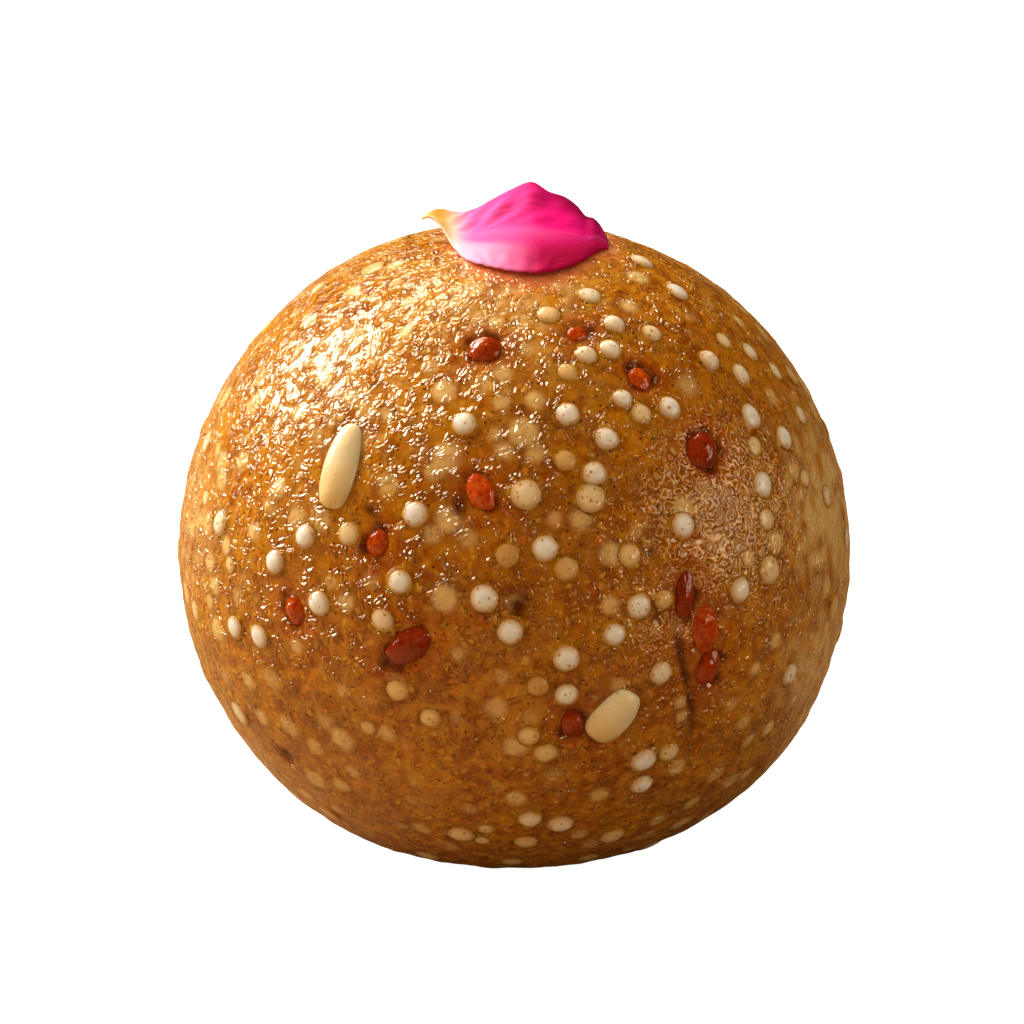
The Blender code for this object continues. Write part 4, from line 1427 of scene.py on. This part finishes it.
def floor_material():
    """A plain pale floor that looks white to the camera and dimmer to the ladoo."""
    graph, shader, made = new_material("pale table")
    seen = graph.node("ShaderNodeLightPath").outputs["Is Camera Ray"]
    where = graph.node("ShaderNodeTexCoord").outputs["Object"]
    across = graph.three(where, "XYZ")[0]
    lit = graph.blend(graph.step(across, -0.02, 0.10), FLOOR_LEFT, FLOOR_RIGHT)
    graph.feed(shader, {
        "Base Color": graph.blend(seen, lit, (0.5, 0.5, 0.5)),
        "Roughness": 0.9,
        "Specular IOR Level": 0.0,
        "Emission Color": (1, 1, 1, 1),
        "Emission Strength": seen,
    })
    return made


# ---------------------------------------------------------------- the studio


def add_floor():
    mesh = bpy.data.meshes.new("table")
    made = bmesh.new()
    bmesh.ops.create_grid(made, x_segments=1, y_segments=1, size=FLOOR_SIZE / 2)
    made.to_mesh(mesh)
    made.free()
    mesh.materials.append(floor_material())
    floor = bpy.data.objects.new("table", mesh)
    floor.location.z = -FLOOR_DROP
    link(floor)


def add_lights():
    for name, direction, distance, width, watts, tint in LIGHTS:
        light = bpy.data.lights.new(name, "AREA")
        light.shape = "SQUARE"
        light.size = width
        light.energy = watts
        light.color = tint
        lamp = bpy.data.objects.new(name, light)
        lamp.location = CENTRE + Vector(direction).normalized() * distance
        lamp.rotation_euler = Vector(direction).to_track_quat("Z", "Y").to_euler()
        link(lamp)


def light_room():
    """A room that is white to the camera, bright on the left, behind and above, dim on the right."""
    world = bpy.data.worlds.new("pale room")
    bpy.context.scene.world = world
    world.use_nodes = True
    graph = Graph(world.node_tree)
    ray = graph.node("ShaderNodeLightPath").outputs
    seen = ray["Is Camera Ray"]
    toward = graph.node("ShaderNodeTexCoord").outputs["Generated"]
    across, away, up = graph.three(toward, "XYZ")
    behind = graph.step(away, 0.2, 0.9)
    strength = graph.step(across, -0.9, 0.9, ROOM_RIGHT + ROOM_LEFT, ROOM_RIGHT)
    strength = graph.times_plus(behind, ROOM_BACK, strength)
    strength = graph.times_plus(graph.step(up, 0.45, 1.0), ROOM_TOP, strength)
    kept = graph.times_plus(ray["Is Glossy Ray"], ROOM_MIRRORED - 1.0, 1.0)
    tint = graph.blend(behind, ROOM_TINT, BACKDROP_TINT)
    graph.feed(world.node_tree.nodes["Background"].inputs, {
        "Color": graph.blend(seen, tint, (1, 1, 1)),
        "Strength": graph.mix(seen, graph.times(strength, kept), 1.0),
    })


def add_camera():
    lens = bpy.data.cameras.new("viewer")
    lens.sensor_width = SENSOR_WIDTH
    lens.lens = SENSOR_WIDTH * LENS_PER_SENSOR_WIDTH
    lens.clip_start = 10 * MM
    camera = bpy.data.objects.new("viewer", lens)
    camera.location = CENTRE + TO_VIEWER * VIEW_DISTANCE
    aim = CENTRE + (TO_TOP * AIM_UP - TO_RIGHT * AIM_LEFT) * MM
    camera.rotation_euler = (camera.location - aim).to_track_quat("Z", "Y").to_euler()
    link(camera)
    bpy.context.scene.camera = camera
    bpy.context.scene.view_settings.view_transform = "Standard"


# ---------------------------------------------------------------- putting it together


def make_ladoo():
    pearls, kernels, fruit = sites()
    buried = buried_sites(pearls, kernels, fruit)
    relief, specks, blotches = syrup_relief_group(), specks_group(), blotches_group()
    meal = meal_group(relief, specks, blotches)

    dough = dough_builder(pearls, kernels, fruit, buried)
    add_piece("dough_skin", dough, "ladoo_ball", dough_material(meal))
    milky = pearl_material(specks, meal)
    add_piece("sago_pearls", pearls_builder(pearls), "ladoo_ball", milky)

    waxy = kernel_material(specks)
    for number, (direction, turn, *shape) in enumerate(kernels, 1):
        site = (direction, turn, KERNEL_SINK)
        name, replaced = f"kernel_{number}", f"seed_kernel_{number}"
        add_set_piece(name, kernel_builder(*shape), site, replaced, waxy)

    soaked = {bright: fruit_material(blotches, bright) for bright in dict.fromkeys(FRUIT_BRIGHTNESS)}
    for number, (direction, turn, length, width, sink) in enumerate(fruit, 1):
        bit = fruit_builder(length, width, number)
        site = (direction, turn, sink * MM)
        name, replaced = f"red_bit_{number}", f"fruit_bit_{number}"
        finish = soaked[FRUIT_BRIGHTNESS[(number - 1) % len(FRUIT_BRIGHTNESS)]]
        add_set_piece(name, bit, site, replaced, finish)

    add_piece("petal_blade", petal_builder(), "rose_petal", petal_material())


add_camera()
add_lights()
light_room()
add_floor()
make_ladoo()
